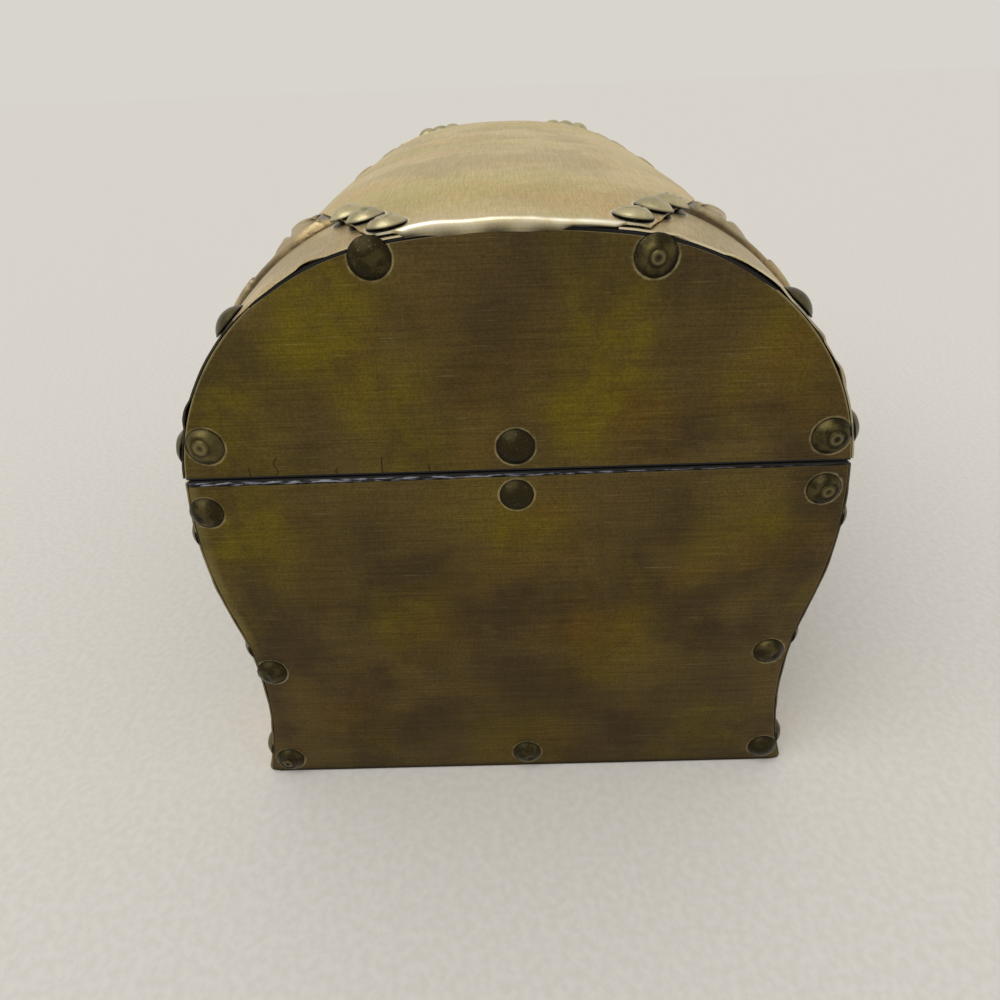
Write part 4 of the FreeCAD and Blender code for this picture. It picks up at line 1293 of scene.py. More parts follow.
@dataclass(frozen=True)
class Embossing:
    """Raised leaf and scroll work: heights over a sheet's plain face."""

    rope_width: float = 3.6
    rope_lay: float = 5.2
    rope_height: float = 2.2
    vine_height: float = 1.2
    vine_half_width: float = 1.6
    scroll_points: int = 90

    def rope(self, along: Grid, from_middle: Grid) -> Grid:
        """Height of a twisted rope that runs along the sheet.

        Args:
            along: Places along the rope.
            from_middle: Distance from the rope's middle line.

        Returns:
            Height of the rope.
        """
        half = self.rope_width / 2
        round_back = np.sqrt(np.clip(1 - (from_middle / half) ** 2, 0, 1))
        strands = np.abs(np.cos(math.pi * (along / self.rope_lay + from_middle / self.rope_width * 0.8)))
        return self.rope_height * round_back * (0.62 + 0.38 * strands ** 0.6)

    def chain(self, along: Grid, across: Grid, half_wide: float, height: float, pitch: float) -> Grid:
        """Height of a row of long leaves that lie one over the next.

        Args:
            along: Places along the row.
            across: Distance from its middle line.
            half_wide: Half its width.
            height: Height of the leaves.
            pitch: Distance from leaf to leaf.

        Returns:
            Height of the row.
        """
        step = (along / pitch) % 1.0
        width = half_wide * (0.6 + 0.4 * np.sin(math.pi * np.clip(step * 1.1, 0, 1)) ** 0.7)
        v = across / width
        groove = 0.34 * np.exp(-(v / 0.16) ** 2) + 0.16 * np.cos(math.tau * (1.2 * step - 1.1 * np.abs(v)))
        return height * np.clip(np.clip(1 - v ** 2, 0, 1) ** 0.5 * (0.62 + 0.38 * step - groove * 0.6), 0, 1)

    def vine(self, first: Grid, second: Grid, route: Grid, share: float = 1.0) -> Grid:
        """Height of a vine pressed along a route, thinner towards its end.

        Args:
            first: Places along the sheet.
            second: Places up the sheet.
            route: Points of the route, and the share of the width left at each.
            share: Its height against the usual one.

        Returns:
            Height of the vine.
        """
        half_width, height = self.vine_half_width, self.vine_height * share
        low = route[:, :2].min(axis=0) - half_width
        high = route[:, :2].max(axis=0) + half_width
        near = (first > low[0]) & (first < high[0]) & (second > low[1]) & (second < high[1])
        total = np.zeros_like(first)
        if not near.any():
            return total
        gap = np.hypot(first[near][:, None] - route[:, 0], second[near][:, None] - route[:, 1])
        away = gap / (half_width * route[:, 2])
        best = np.argmin(away, axis=1)
        nearest = away[np.arange(len(best)), best]
        total[near] = height * np.sqrt(np.clip(1 - nearest ** 2, 0, 1)) * route[best, 2] ** 0.5
        return total

    def scroll(self, first: Grid, second: Grid, middle: Tuple[float, float], size: float, turns: float,
               start: float, hand: int, share: float = 1.0) -> Grid:
        """Height of a vine that winds in to a middle.

        Args:
            first: Places along the sheet.
            second: Places up the sheet.
            middle: Middle of the spiral.
            size: Radius where it starts.
            turns: How many times it goes round.
            start: Direction of its start in degrees.
            hand: 1 to wind one way, -1 the other.
            share: Its height against the usual one.

        Returns:
            Height of the vine.
        """
        done = np.linspace(0, 1, self.scroll_points)
        angle = math.radians(start) + hand * math.tau * turns * done
        radius = size * (1 - done) ** 0.8 + 0.6
        route = [middle[0] + radius * np.cos(angle), middle[1] + radius * np.sin(angle), 1 - 0.55 * done]
        return self.vine(first, second, np.stack(route, axis=-1), share)

    def leaf(self, along: Grid, across: Grid, half_long: float, half_wide: float, height: float,
             veins: int = 5) -> Grid:
        """Height of a domed leaf with a middle rib and slanting side veins.

        Args:
            along: Places along the leaf from its middle.
            across: Places across it.
            half_long: Half its length.
            half_wide: Half its width.
            height: Height of its swell.
            veins: Veins to each side.

        Returns:
            Height of the leaf.
        """
        u = along / half_long
        lobed = 1 + 0.13 * np.cos(math.tau * veins * (u + 0.35 * np.abs(across / half_wide)) / 2)
        width = half_wide * np.clip(1 - np.abs(u) ** 2.3, 0, 1) ** 0.75 * lobed
        v = across / np.maximum(width, 0.05)
        body = np.clip(1 - v ** 2, 0, 1) ** 0.5 * np.clip(1 - np.abs(u) ** 3, 0, 1) ** 0.5
        vein = np.cos(math.tau * (veins * u / 2 + 0.9 * np.abs(v)))
        rib = 0.30 * np.exp(-(v / 0.13) ** 2)
        return height * np.clip(body * (0.86 + 0.13 * vein * np.abs(v) ** 0.4 - rib), 0, 1)

    def medallion(self, along: Grid, across: Grid, half_long: float, half_wide: float, height: float,
                  petals: int = 12) -> Grid:
        """Height of an oval medallion: a rim, a ring of petals and a button.

        Args:
            along: Places along the sheet from its middle.
            across: Places across it.
            half_long: Half its length.
            half_wide: Half its height.
            height: Height of its rim.
            petals: Petals in the ring.

        Returns:
            Height of the medallion.
        """
        u, v = along / half_long, across / half_wide
        away = np.hypot(u, v)
        turn = np.arctan2(v, u)
        rim = np.sqrt(np.clip(1 - ((away - 0.91) / 0.09) ** 2, 0, 1))
        fan = np.abs(np.cos(petals / 2 * turn))
        petal = np.sqrt(np.clip(1 - (away / (0.42 + 0.36 * fan ** 0.5)) ** 4, 0, 1)) * (0.55 + 0.3 * fan)
        petal *= eased(away, 0.12, 0.3)
        button = np.sqrt(np.clip(1 - (away / 0.2) ** 2, 0, 1))
        ground = 0.42 * eased(1.0 - away, 0.0, 0.1)
        return height * np.maximum.reduce([rim, petal * 0.9, button, ground])


# Sub-assemblies

@dataclass
class EndPlates:
    """The flat plates on the two ends of the body and of the lid."""

    form: TrunkForm
    finishes: Finishes
    columns: int = 108
    rows: int = 82
    body_inset: float = 0.05
    lid_inset: float = 0.12
    worn_low: float = 0.85
    border_width: float = 0.45
    rolled: float = 0.3
    swell: float = 0.38
    swell_size: float = 46.0
    crack_half_width: float = 0.28
    crack_foot: float = 129.0
    cracks: Tuple[Tuple[float, float], ...] = (
        (-79.0, 3.0), (-71.0, 6.5), (-53.0, 2.6), (-39.5, 5.0), (-25.5, 2.6))
    lid_green: Tuple[Spot, ...] = (
        (-56, 172, 17, 0.9), (-42, 160, 15, 0.45), (20, 176, 15, 0.65), (34, 166, 13, 0.7),
        (74, 166, 17, 0.75), (18, 146, 13, 0.9), (30, 150, 10, 0.6), (-86, 144, 20, 0.8),
        (-30, 139, 20, 0.6), (-46, 190, 12, 0.4))
    lid_amber: Tuple[Spot, ...] = (
        (34, 143, 13, 0.4), (72, 158, 13, 0.6), (4, 160, 20, 0.3), (88, 148, 12, 0.4), (-20, 178, 16, 0.2))
    lid_dark: Tuple[Spot, ...] = (
        (0, 178, 20, 0.6), (-58, 142, 16, 0.5), (50, 186, 18, 0.35), (-84, 164, 14, 0.3), (48, 164, 12, 0.5))
    body_green: Tuple[Spot, ...] = (
        (-80, 108, 20, 0.9), (2, 108, 12, 0.75), (-14, 116, 20, 0.4), (66, 104, 15, 0.6), (78, 108, 10, 0.4),
        (-38, 74, 15, 0.5), (32, 60, 16, 0.75), (-4, 16, 18, 0.7), (64, 17, 16, 0.5), (-52, 12, 14, 0.35))
    body_amber: Tuple[Spot, ...] = (
        (10, 106, 14, 0.6), (24, 64, 17, 0.6), (-30, 66, 15, 0.35), (-66, 34, 16, 0.4), (60, 98, 14, 0.3),
        (10, 14, 16, 0.4))
    body_dark: Tuple[Spot, ...] = (
        (-50, 100, 20, 0.6), (48, 114, 16, 0.6), (0, 40, 22, 0.55), (-72, 56, 16, 0.4), (66, 40, 16, 0.5),
        (30, 8, 16, 0.6), (-30, 8, 12, 0.4))

    def build(self) -> None:
        """Make the four plates."""
        for end in End:
            for part in (Part.BODY, Part.LID):
                node = "%s_%s_plate" % (part.word, end.word)
                settle(self.plate(node, part, end), part, self.finishes.plate, "end_brass", node)

    def outline(self, part: Part, across: Grid, up: Grid) -> Tuple[Grid, Grid, Grid, Grid]:
        """Bottom, top, left and right lines of a plate, as places and heights.

        Args:
            part: Body or lid.
            across: Shares of the columns.
            up: Shares of the rows.

        Returns:
            The four lines.
        """
        form = self.form
        share = across[:, None]
        if part is Part.BODY:
            width = form.bulge_half_width * (2 * across - 1)
            drop = 0.1 + self.worn_low * eased(-width, -90.0, 70.0) + 0.12 * ripples(width, width * 0, 9.0, 6)
            full = form.body_height - 2 * PLATE_INSET
            sides = ((-1, PLATE_INSET + (full - drop[0]) * up), (1, PLATE_INSET + (full - drop[-1]) * up))
            left, right = (np.stack([hand * (form.body_side(side, 0.0)[0] - self.body_inset), side], axis=-1)
                           for hand, side in sides)
            top = left[-1] * (1 - share) + right[-1] * share
            top[:, 1] = form.body_height - PLATE_INSET - drop
        else:
            rim = np.array(form.half_length)
            base = float(form.reach_of_height(PLATE_INSET, rim))
            turn = base * 0.55
            y, z = form.lid_section(base + (turn - base) * up, -self.lid_inset, rim)
            z[0] = form.lid_base + PLATE_INSET
            left, right = np.stack([-y, z], axis=-1), np.stack([y, z], axis=-1)
            top = np.stack(form.lid_section(turn * (2 * across - 1), -PLATE_INSET, rim), axis=-1)
            top[[0, -1]] = left[-1], right[-1]
        return left[0] * (1 - share) + right[0] * share, top, left, right

    def plate(self, node: str, part: Part, end: End) -> bpy.types.Object:
        """Make one plate, a little uneven between its nails.

        Args:
            node: CAD node that it stands for.
            part: Body or lid.
            end: End that it is on.

        Returns:
            The plate.
        """
        form, sign = self.form, end.value
        on_lid = part is Part.LID
        wide = 2 * form.bulge_half_width
        cracked = on_lid and end is End.RIGHT
        foot = float(form.reach_of_height(PLATE_INSET, np.array(form.half_length + form.overrun)))
        half = float(form.lid_section(np.array(foot), -self.lid_inset, np.array(form.half_length))[0])
        places = [(place + half) / (2 * half) for place, _ in self.cracks] if cracked else []
        across = steps(self.columns, self.border_width / wide, places, self.crack_half_width / wide)
        up = steps(self.rows, self.border_width / form.body_height)
        bottom, top, left, right = self.outline(part, across, up)
        u, v = across[:, None, None], up[None, :, None]
        flat = ((1 - v) * bottom[:, None] + v * top[:, None] + (1 - u) * left[None] + u * right[None]
                - (1 - u) * (1 - v) * left[0] - u * (1 - v) * right[0]
                - (1 - u) * v * left[-1] - u * v * right[-1])
        y, z = flat[..., 0], flat[..., 1]
        seed = 11 + on_lid + 4 * (end is End.LEFT)
        hollow = np.zeros_like(y)
        if cracked:
            for place, (_, height) in zip(places, self.cracks):
                line = int(np.argmin(np.abs(across - place)))
                hollow[line] = z[line] < form.lid_base + PLATE_INSET + height
                jagged = 0.5 * ripples(z[line], z[line] * 0 + place * wide, 4.0, 3)
                y[line - 1:line + 2] += jagged * (z[line] > self.crack_foot)
        near = near_nails(np.stack([sign * (form.half_length + SHEET) + 0 * y, y, z], axis=-1),
                          "%s_%s_nails" % (part.word, end.word))
        side = np.minimum(u[..., 0], 1 - u[..., 0]) * wide
        rim = np.minimum(side, np.minimum(v[..., 0], 1 - v[..., 0]) * form.crown_rise)
        held = (1 - near) * eased(rim, 1.0, 9.0)
        out = held * (self.swell * (0.5 + 0.5 * ripples(y, z, self.swell_size, seed))
                      + 0.07 * ripples(y, z, 14.0, seed + 20))
        out = np.maximum(out, 0) - self.rolled * (not on_lid) * (1 - eased(side, 0.0, 1.6))
        face_x = form.half_length + SHEET + out
        back_x = np.clip(face_x - SHEET, form.half_length, face_x - 0.15)
        spots = (self.lid_green, self.lid_amber, self.lid_dark) if on_lid else (
            self.body_green, self.body_amber, self.body_dark)
        wobble = 5 * ripples(y, z, 22.0, seed + 40)
        marks = {title: blobs(sign * y + wobble, z + wobble, group)
                 for title, group in zip(("green", "amber", "dark"), spots)}
        sides = (0.95, 0.8, 0.1, 0.8) if on_lid else (0.12, 0.25, 0.0, 0.1)
        strip = (1 - eased(side, 0.8, 3.4)) * (not on_lid) * (y < 0) * eased(z, 50.0, 80.0)
        marks["edge"] = np.maximum(border_mark(*y.shape, sides), 0.2 * strip)
        marks["green"] = np.maximum(marks["green"], 0.8 * strip)
        # The right lid plate's cracks are dark lines. The body plates get a painted contact shadow within 2.6
        # mm of their bottom edge.
        marks["hollow"] = np.maximum(hollow, 0.7 * (not on_lid) * (1 - eased(z, 0.9, 2.6)))
        marks["near_nail"] = near
        return closed_sheet(node + "_piece", np.stack([sign * face_x, y, z], axis=-1),
                            np.stack([sign * back_x, y, z], axis=-1), marks)


@dataclass
class SideBands:
    """The plain bands beside the ends, whose outer edges lift a little between their nails."""

    form: TrunkForm
    finishes: Finishes
    columns: int = 26
    rows: int = 120
    lid_reach: float = 0.4
    body_reach: float = 0.15
    lid_lift: float = 0.7
    body_lift: float = 0.18
    lift_width: float = 10.0
    wave_pitch: float = 21.0
    # Painted shade along a band's outer end: it starts this far from the end and is full at the next
    # distance, in millimetres.
    edge_shade_start: float = 1.4
    edge_shade_end: float = 0.6

    def build(self) -> None:
        """Make the eight bands."""
        for end in End:
            for face in Face:
                for part in (Part.BODY, Part.LID):
                    node = "%s_%s_%s_band" % (part.word, face.word, end.word)
                    piece = self.band(node + "_piece", part, end, face)
                    settle(piece, part, self.finishes.band, "band_brass", node)

    def band(self, name: str, part: Part, end: End, face: Face) -> bpy.types.Object:
        """Make one band.

        Args:
            name: Name of the piece.
            part: Body or lid.
            end: End that it is beside.
            face: Long side that it is on.

        Returns:
            The band.
        """
        form = self.form
        on_lid = part is Part.LID
        inner = form.half_length - BAND_WIDTH
        outer = form.half_length + (self.lid_reach if on_lid else self.body_reach)
        x = (inner + (outer - inner) * steps(self.columns, 0.012))[:, None]
        v = steps(self.rows, 0.004)[None, :]
        x, v = np.broadcast_arrays(x, v)
        seed = 50 + 4 * (end is End.LEFT) + 2 * (face is Face.FRONT) + on_lid
        if on_lid:
            low = form.reach_of_height(FLOOR_CLEARANCE, x)
            along = low + (form.reach_of_width(form.crown_edge(x, -form.crown_sheet_tuck)) - low) * v
        else:
            along = FLOOR_CLEARANCE + (form.body_height - 2 * FLOOR_CLEARANCE) * v
        nails = "%s_%s_nails" % (part.word, face.word)
        held = np.ones_like(x)
        for place in nail_places(nails):
            if place.point.x * end.value > 0:
                spot = place.point.z / MM
                if on_lid:
                    spot = float(form.reach_of_width(np.array(abs(place.point.y / MM))))
                held = np.minimum(held, eased(np.abs(along - spot), 3.0, 11.0))
        if on_lid:
            held = held * eased(v, 0.0, 0.03) * eased(1.0 - v, 0.0, 0.25)
        wave = np.sin(math.tau * along / self.wave_pitch + 2.2 * ripples(along, x * 0, 50.0, seed))
        lift = (self.lid_lift if on_lid else self.body_lift) * eased(x, outer - self.lift_width, outer)
        uneven = 0.06 * (1 + ripples(x, along, 18.0, seed + 9))
        raised = lift * np.clip(wave + 0.1, 0, 1) ** 0.8 * held + uneven
        raised *= eased(x, inner, inner + 4.0) * eased(v, 0.0, 0.02)
        outside, inside = (form.layer(part, along, offset, end.value * x, face)
                           for offset in (PLAY + SHEET + raised, PLAY + raised))
        # The bands' outer ends are pale, more on the lid and on the back: worn edges with a painted
        # highlight.
        bright = (0.7 if on_lid else 0.2) * (0.4 if face is Face.FRONT else 1.0)
        # Painted shade on the lower part of each band's outer end, set per part and side.
        edge_shade = {(Part.LID, Face.FRONT): 0.9, (Part.LID, Face.BACK): 0.4,
                 (Part.BODY, Face.FRONT): 0.6, (Part.BODY, Face.BACK): 0.85}[part, face]
        edge_shade = edge_shade * eased(x, outer - self.edge_shade_start, outer - self.edge_shade_end)
        edge_shade_up_to = 0.6 if on_lid else 1.2
        marks = {"edge": border_mark(*x.shape, (0.3, bright, 0.1, 0.5)),
                 "near_nail": near_nails(outside, nails, "lid_crown_nails" if on_lid else nails),
                 "hollow": edge_shade * eased(edge_shade_up_to - v, 0.0, 0.15),
                 "dark": 0.4 * eased(ripples(x, along, 30.0, seed + 3), 0.1, 0.9)}
        return closed_sheet(name, outside, inside, marks)


@dataclass
class CrownSheet:
    """The plain sheet over the crown, its ends hammered down by hand over the end plates."""

    form: TrunkForm
    finishes: Finishes
    columns: int = 216
    rows: int = 132
    bend_radius: float = 1.0
    lip_half_width: float = 28.5
    lip_low: float = -0.75
    open_lip_low: float = 0.8
    open_start: float = 12.0
    fold_lift: float = 0.7
    band_start: float = 148.0
    band_full: float = 160.0

    def build(self) -> None:
        """Make the sheet."""
        form = self.form
        cover = 2 * (PLAY + SHEET) + form.crown_sheet_lift
        end_x = form.half_length + SHEET + 0.1 + SHEET
        flat_x = end_x - self.bend_radius
        bend = np.linspace(0, math.pi / 2, 7)[1:]
        lip = np.linspace(0, 1, 5)[1:]
        main = [float(x) for x in np.linspace(0, flat_x - 14, self.columns // 2)]
        main += [float(flat_x - x) for x in np.linspace(14, 0, 19)[1:]]
        half = [(x, 0.0, 0.0) for x in main] + [(flat_x, float(a), 0.0) for a in bend]
        half += [(flat_x, math.pi / 2, float(s)) for s in lip]
        stations = [(-x, a, s) for x, a, s in reversed(half[1:])] + half
        x0, angle, fall = (np.array(values)[:, None] for values in zip(*stations))
        sign = np.sign(x0)
        v = (2 * steps(self.rows, 0.004) - 1)[None, :]
        edge = form.reach_of_width(form.crown_edge(x0))
        reach = edge * v
        folded = np.maximum(eased(self.lip_half_width - np.abs(reach), -1.5, 3.0), 0.07)
        hump = self.fold_wave(reach) * np.exp(-(flat_x - np.abs(x0)) / 13.0)
        dips = 0.16 * ripples(x0, reach, 34.0, 71) * eased(edge - np.abs(reach), 0.0, 9.0)
        corner = eased(np.abs(reach), self.lip_half_width, self.lip_half_width + 4.0)
        corner = corner * eased(np.abs(x0), self.band_start, self.band_full)
        dips = dips - 0.55 * (1 - eased(edge - np.abs(reach), 0.0, 7.0)) - 0.2 * corner
        lifted = hump + dips + 0.07 * ripples(x0, reach, 13.0, 72)
        plain = np.broadcast_arrays(x0, *form.lid_section(reach, cover, np.abs(x0)))
        near = near_nails(np.stack(plain, axis=-1), "lid_crown_nails")
        lifted *= 1 - near
        falling = fall * folded
        waved = 0.3 * falling * ripples(reach, x0 * 0, 14.0, 73)
        points = []
        for inner in (0.0, SHEET):
            radius = self.bend_radius - inner
            x = np.abs(x0) + radius * np.sin(angle * folded) + waved
            bent = cover - self.bend_radius + radius * np.cos(angle * folded)
            offset = bent * (1 - falling) + self.lip_offset(reach) * falling + lifted * (1 - fall)
            section = form.lid_section(reach, offset, np.abs(x))
            points.append(np.stack(np.broadcast_arrays(sign * x, *section), axis=-1))
        shape = points[0].shape[:2]
        # Pale along the cut edges from wear, and along the fold's crease and near the sheet's ends as a
        # painted highlight.
        crease = np.exp(-((angle - 0.8) / 0.8) ** 2) * (angle > 0) * (fall < 0.6)
        wear_and_highlight = (border_mark(*shape, (0.2, 0.2, 0.45, 0.45)) + 0.85 * crease) * (0.25 + 0.75 * folded)
        # Painted shade and painted dark reflection: the lip that falls over the end plate darkens unevenly
        # towards its lower edge.
        lip_shade_ripple = 0.86 + 0.3 * ripples(reach, 0 * x0, 9.0, 78)
        marks = {"edge": np.clip(wear_and_highlight + 0.25 * np.exp(-(flat_x - np.abs(x0)) / 4.0), 0, 1),
                 "near_nail": near,
                 "hollow": np.clip(falling ** 0.6 * lip_shade_ripple, 0, 0.9),
                 "green": 0.7 * eased(ripples(x0, reach * 0.5, 60.0, 75), 0.1, 0.8),
                 "amber": 0.7 * eased(ripples(x0, reach * 0.5, 55.0, 76), 0.2, 0.9)}
        piece = closed_sheet("lid_crown_sheet_piece", points[0], points[1], marks)
        settle(piece, Part.LID, self.finishes.crown, "crown_brass", "lid_crown_sheet")

    def lip_offset(self, reach: Grid) -> Grid:
        """Offset that the lip's lower edge comes down to, with one side left open.

        Args:
            reach: Distance round the section from the crown's middle.

        Returns:
            Offset from the boards.
        """
        closed = 1 - eased(reach, self.open_start, self.open_start + 4.0)
        low = self.lip_low * closed + self.open_lip_low * (1 - closed)
        rising = eased(-reach, self.lip_half_width - 12.0, self.lip_half_width)
        return low + rising + 0.35 * ripples(reach, reach * 0, 9.0, 74)

    def fold_wave(self, reach: Grid) -> Grid:
        """How far the fold stands up from the section along the end."""
        hump = np.exp(-((reach + 20.0) / 11.0) ** 2) + 0.5 * np.exp(-((reach - 4.0) / 15.0) ** 2)
        return self.fold_lift * hump + 0.22 * (1 + ripples(reach, reach * 0, 15.0, 77))


@dataclass
class SidePanels:
    """The four embossed panels along the front and the back."""

    form: TrunkForm
    finishes: Finishes
    emboss: Embossing
    columns: int = 460
    lid_rows: int = 150
    body_rows: int = 190
    back_step: int = 10
    lobe_length: float = 30.0
    lobe_gap: float = 7.0
    lobe_width: float = 13.0
    lobe_step: float = 10.5
    lobe_height: float = 4.2
    end_lobe_share: float = 0.7
    border_half_width: float = 3.8
    border_height: float = 2.6
    border_pitch: float = 27.0
    ridge_margin: float = 6.0
    fitting_margin: float = 1.0
    boss_count: int = 3
    boss_length: float = 56.0
    boss_height: float = 30.0
    body_ridge_low: float = 12.0
    body_ridge_pitch: float = 7.0
    latch_margin: float = 10.5
    hook_clearance: float = 50.0
    vine_bends: int = 3
    scrolls_until: float = 50.0
    largest_scroll: float = 9.5
    smallest_scroll: float = 2.5

    def build(self) -> None:
        """Make the four panels."""
        for face in Face:
            for part, press in ((Part.LID, self.lid_panel), (Part.BODY, self.body_panel)):
                node = "%s_%s_panel" % (part.word, face.word)
                settle(press(face), part, self.finishes.panel, "panel_brass", node)

    def base_rope(self) -> float:
        """Middle height of the rope along the lid's base, clear of the hinges and the rosette."""
        fittings = max(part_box("hinge_right_lid_leaf")[1][2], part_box("latch_lid_rosette")[1][2]) / MM
        return fittings + self.fitting_margin + self.emboss.rope_width / 2

    def body_rope_heights(self) -> List[float]:
        """Work out where the body's four ropes lie, clear of the latch.

        Returns:
            Their middle heights, from the lowest up.
        """
        half = self.emboss.rope_width / 2
        rosette_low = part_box("latch_body_rosette")[0][2] / MM
        top = rosette_low - self.latch_margin - self.emboss.rope_width
        low, pitch = self.body_ridge_low, self.body_ridge_pitch
        return [height + half for height in (low, low + pitch, top - pitch, top)]

    def grid(self, rows: int, low: float = 0.0, high: float = 1.0) -> Tuple[Grid, Grid]:
        """Places along the length, and values that rise from row to row, for a panel's points."""
        x = np.linspace(-self.form.panel_reach, self.form.panel_reach, self.columns)[:, None] * np.ones(rows)
        return x, np.linspace(low, high, rows)[None, :] * np.ones_like(x)

    def rope_ends(self, x: Grid) -> Grid:
        """How much of a rope there is, so that it ends before the panel does."""
        return eased(self.form.panel_reach - self.ridge_margin - np.abs(x), -1.0, 1.5)

    def border(self, along: Grid, x: Grid, share: float = 1.0) -> Grid:
        """Height of the leaves down a panel's two ends.

        Args:
            along: Places up the panel.
            x: Places along the length.
            share: Their height against the usual one.

        Returns:
            Height of the leaves.
        """
        from_middle = np.abs(x) - (self.form.panel_reach - self.border_half_width - 0.8)
        return self.emboss.chain(along, from_middle, self.border_half_width, self.border_height * share,
                                 self.border_pitch)

    def lid_panel(self, face: Face) -> bpy.types.Object:
        """Make one lid panel: leaves along the crown sheet, a vine, and a rope over the base.

        Args:
            face: Long side that it is on.

        Returns:
            The panel.
        """
        form = self.form
        x, v = self.grid(self.lid_rows)
        low = form.reach_of_height(FLOOR_CLEARANCE, x)
        high = form.reach_of_width(form.crown_edge(x, -form.crown_sheet_tuck))
        along = low + (high - low) * v
        plan_y, height = form.lid_section(along, 0.0, x)
        rope = self.base_rope()
        sine = (height - form.lid_base - form.camber(x) + form.shoulder_drop) / form.shoulder_radius
        slope_share = np.sqrt(np.clip(1 - sine ** 2, 0.05, 1))
        relief = self.emboss.rope(x, (height - rope) / slope_share) * self.rope_ends(x)
        span = (form.panel_reach - self.ridge_margin) * 2
        count = int((span + self.lobe_gap) / (self.lobe_length + self.lobe_gap))
        step = (span - self.lobe_length) / (count - 1)
        over_rope = eased(height - rope, 0.5, 2.5)
        for number in range(count):
            middle = (number - (count - 1) / 2) * step
            slope = math.asin(middle / form.crown_edge_radius)
            dx, dy = x - middle, plan_y - float(form.crown_edge(np.array(middle), self.lobe_step))
            lengthwise = dx * math.cos(slope) - dy * math.sin(slope)
            crosswise = dx * math.sin(slope) + dy * math.cos(slope)
            high_share = self.end_lobe_share if number in (0, count - 1) else 1
            leaf = self.emboss.leaf(lengthwise, crosswise, self.lobe_length / 2 + 0.5,
                                    self.lobe_width / 2 + 0.4, self.lobe_height * high_share)
            relief = np.maximum(relief, leaf * over_rope)
        open_part = eased(v, 0.01, 0.03) * eased(along - high - form.crown_sheet_tuck, 0.8, 3.5)
        relief = np.maximum(relief, self.border(low - along, x) * open_part)
        relief = np.maximum(relief, self.lid_scrolls(x, low - along, rope) * over_rope)
        return self.pressed(Part.LID, face, x, along, relief)

    def lid_scrolls(self, x: Grid, up: Grid, rope: float) -> Grid:
        """Height of the scrolls that fill the corners between the leaves and the rope.

        Args:
            x: Places along the length.
            up: Distance round the section from the panel's lower edge.
            rope: Height of the rope.

        Returns:
            Height of the scrolls.
        """
        form = self.form
        foot = rope - form.lid_base + self.emboss.rope_width / 2 + 0.8
        total = np.zeros_like(x)
        place = form.panel_reach - 2 * self.border_half_width - 11.0
        hand = 1
        while place > self.scrolls_until:
            here = np.array(place)
            leaves = form.reach_of_width(form.crown_edge(here, self.lobe_step + self.lobe_width / 2))
            room = float(form.reach_of_height(FLOOR_CLEARANCE, here) - leaves) - foot
            size = min(room / 2 - 1.0, self.largest_scroll)
            if size < self.smallest_scroll:
                break
            for side in (-1, 1):
                total = np.maximum(total, self.emboss.scroll(x, up, (side * place, foot + size), size, 1.7,
                                                             90 - 90 * side * hand, side * hand))
            place -= 2 * size + 1.5
            hand = -hand
        return total

    def body_panel(self, face: Face) -> bpy.types.Object:
        """Make one body panel: two pairs of ropes, with medallions and scrolls between them.

        Args:
            face: Long side that it is on.

        Returns:
            The panel.
        """
        form, emboss = self.form, self.emboss
        reach = form.panel_reach
        x, height = self.grid(self.body_rows, FLOOR_CLEARANCE, form.body_height - FLOOR_CLEARANCE)
        ends = self.rope_ends(x)
        ropes = self.body_rope_heights()
        relief = np.maximum.reduce([emboss.rope(x, height - level) * ends for level in ropes])
        middle = (ropes[0] + ropes[-1]) / 2
        pitch = 2 * reach / self.boss_count
        for number in range(self.boss_count):
            place = (number - (self.boss_count - 1) / 2) * pitch
            boss = emboss.medallion(x - place, height - middle, self.boss_length / 2, self.boss_height / 2,
                                    emboss.rope_height)
            relief = np.maximum(relief, boss)
        for number in range(self.boss_count + 1):
            place = (number - self.boss_count / 2) * pitch
            inside = abs(place) < reach - 1
            place, size, up = (place, 8.5, 8.0) if inside else (math.copysign(reach - 15.8, place), 5.0, 10.2)
            for hand in (-1, 1):
                relief = np.maximum(relief, emboss.scroll(x, height, (place, middle + hand * up), size, 1.6,
                                                          90 * hand, hand, 1.3))
        half = form.body_height / 2
        border = self.border(height, x, 0.8) * eased(np.abs(height - half), half - 1, half - 4)
        relief = np.maximum(relief, border)
        if face is Face.FRONT:
            relief = np.maximum(relief, self.running_vine(x, height, ropes[-1]))
        return self.pressed(Part.BODY, face, x, height, relief)

    def running_vine(self, x: Grid, height: Grid, rope: float) -> Grid:
        """Height of the two vines beside the latch, clear of the swinging hook.

        Args:
            x: Places along the length.
            height: Heights on the body.
            rope: Middle height of the uppermost rope.

        Returns:
            Height of the vines.
        """
        emboss, form = self.emboss, self.form
        middle = (rope + form.body_height) / 2 + 0.5
        start, stop = self.hook_clearance, form.panel_reach - 2 * self.border_half_width - 4.0
        bends = self.vine_bends
        pitch = (stop - start) / bends
        share = np.linspace(0, 1, 260)
        total = np.zeros_like(x)
        for side in (-1, 1):
            stem = [side * (start + (stop - start) * share), middle + 6.5 * np.sin(math.pi * bends * share),
                    0 * share + 0.85]
            total = np.maximum(total, emboss.vine(x, height, np.stack(stem, axis=-1)))
            for number in range(bends):
                place = start + pitch * (number + 0.5)
                hand = 1 if number % 2 else -1
                dx, dz = x - side * place, height - middle
                curl = emboss.scroll(x, height, (side * place, middle + 4.0 * hand), 7.2, 1.5, 90 * hand,
                                     -side * hand)
                leaf = emboss.leaf(dx * 0.8 + side * dz * 0.6 * hand,
                                   (dz - 11.0 * hand) * 0.8 - side * dx * 0.6 * hand,
                                   6.0, 2.6, emboss.vine_height)
                total = np.maximum.reduce([total, curl, leaf])
        return total

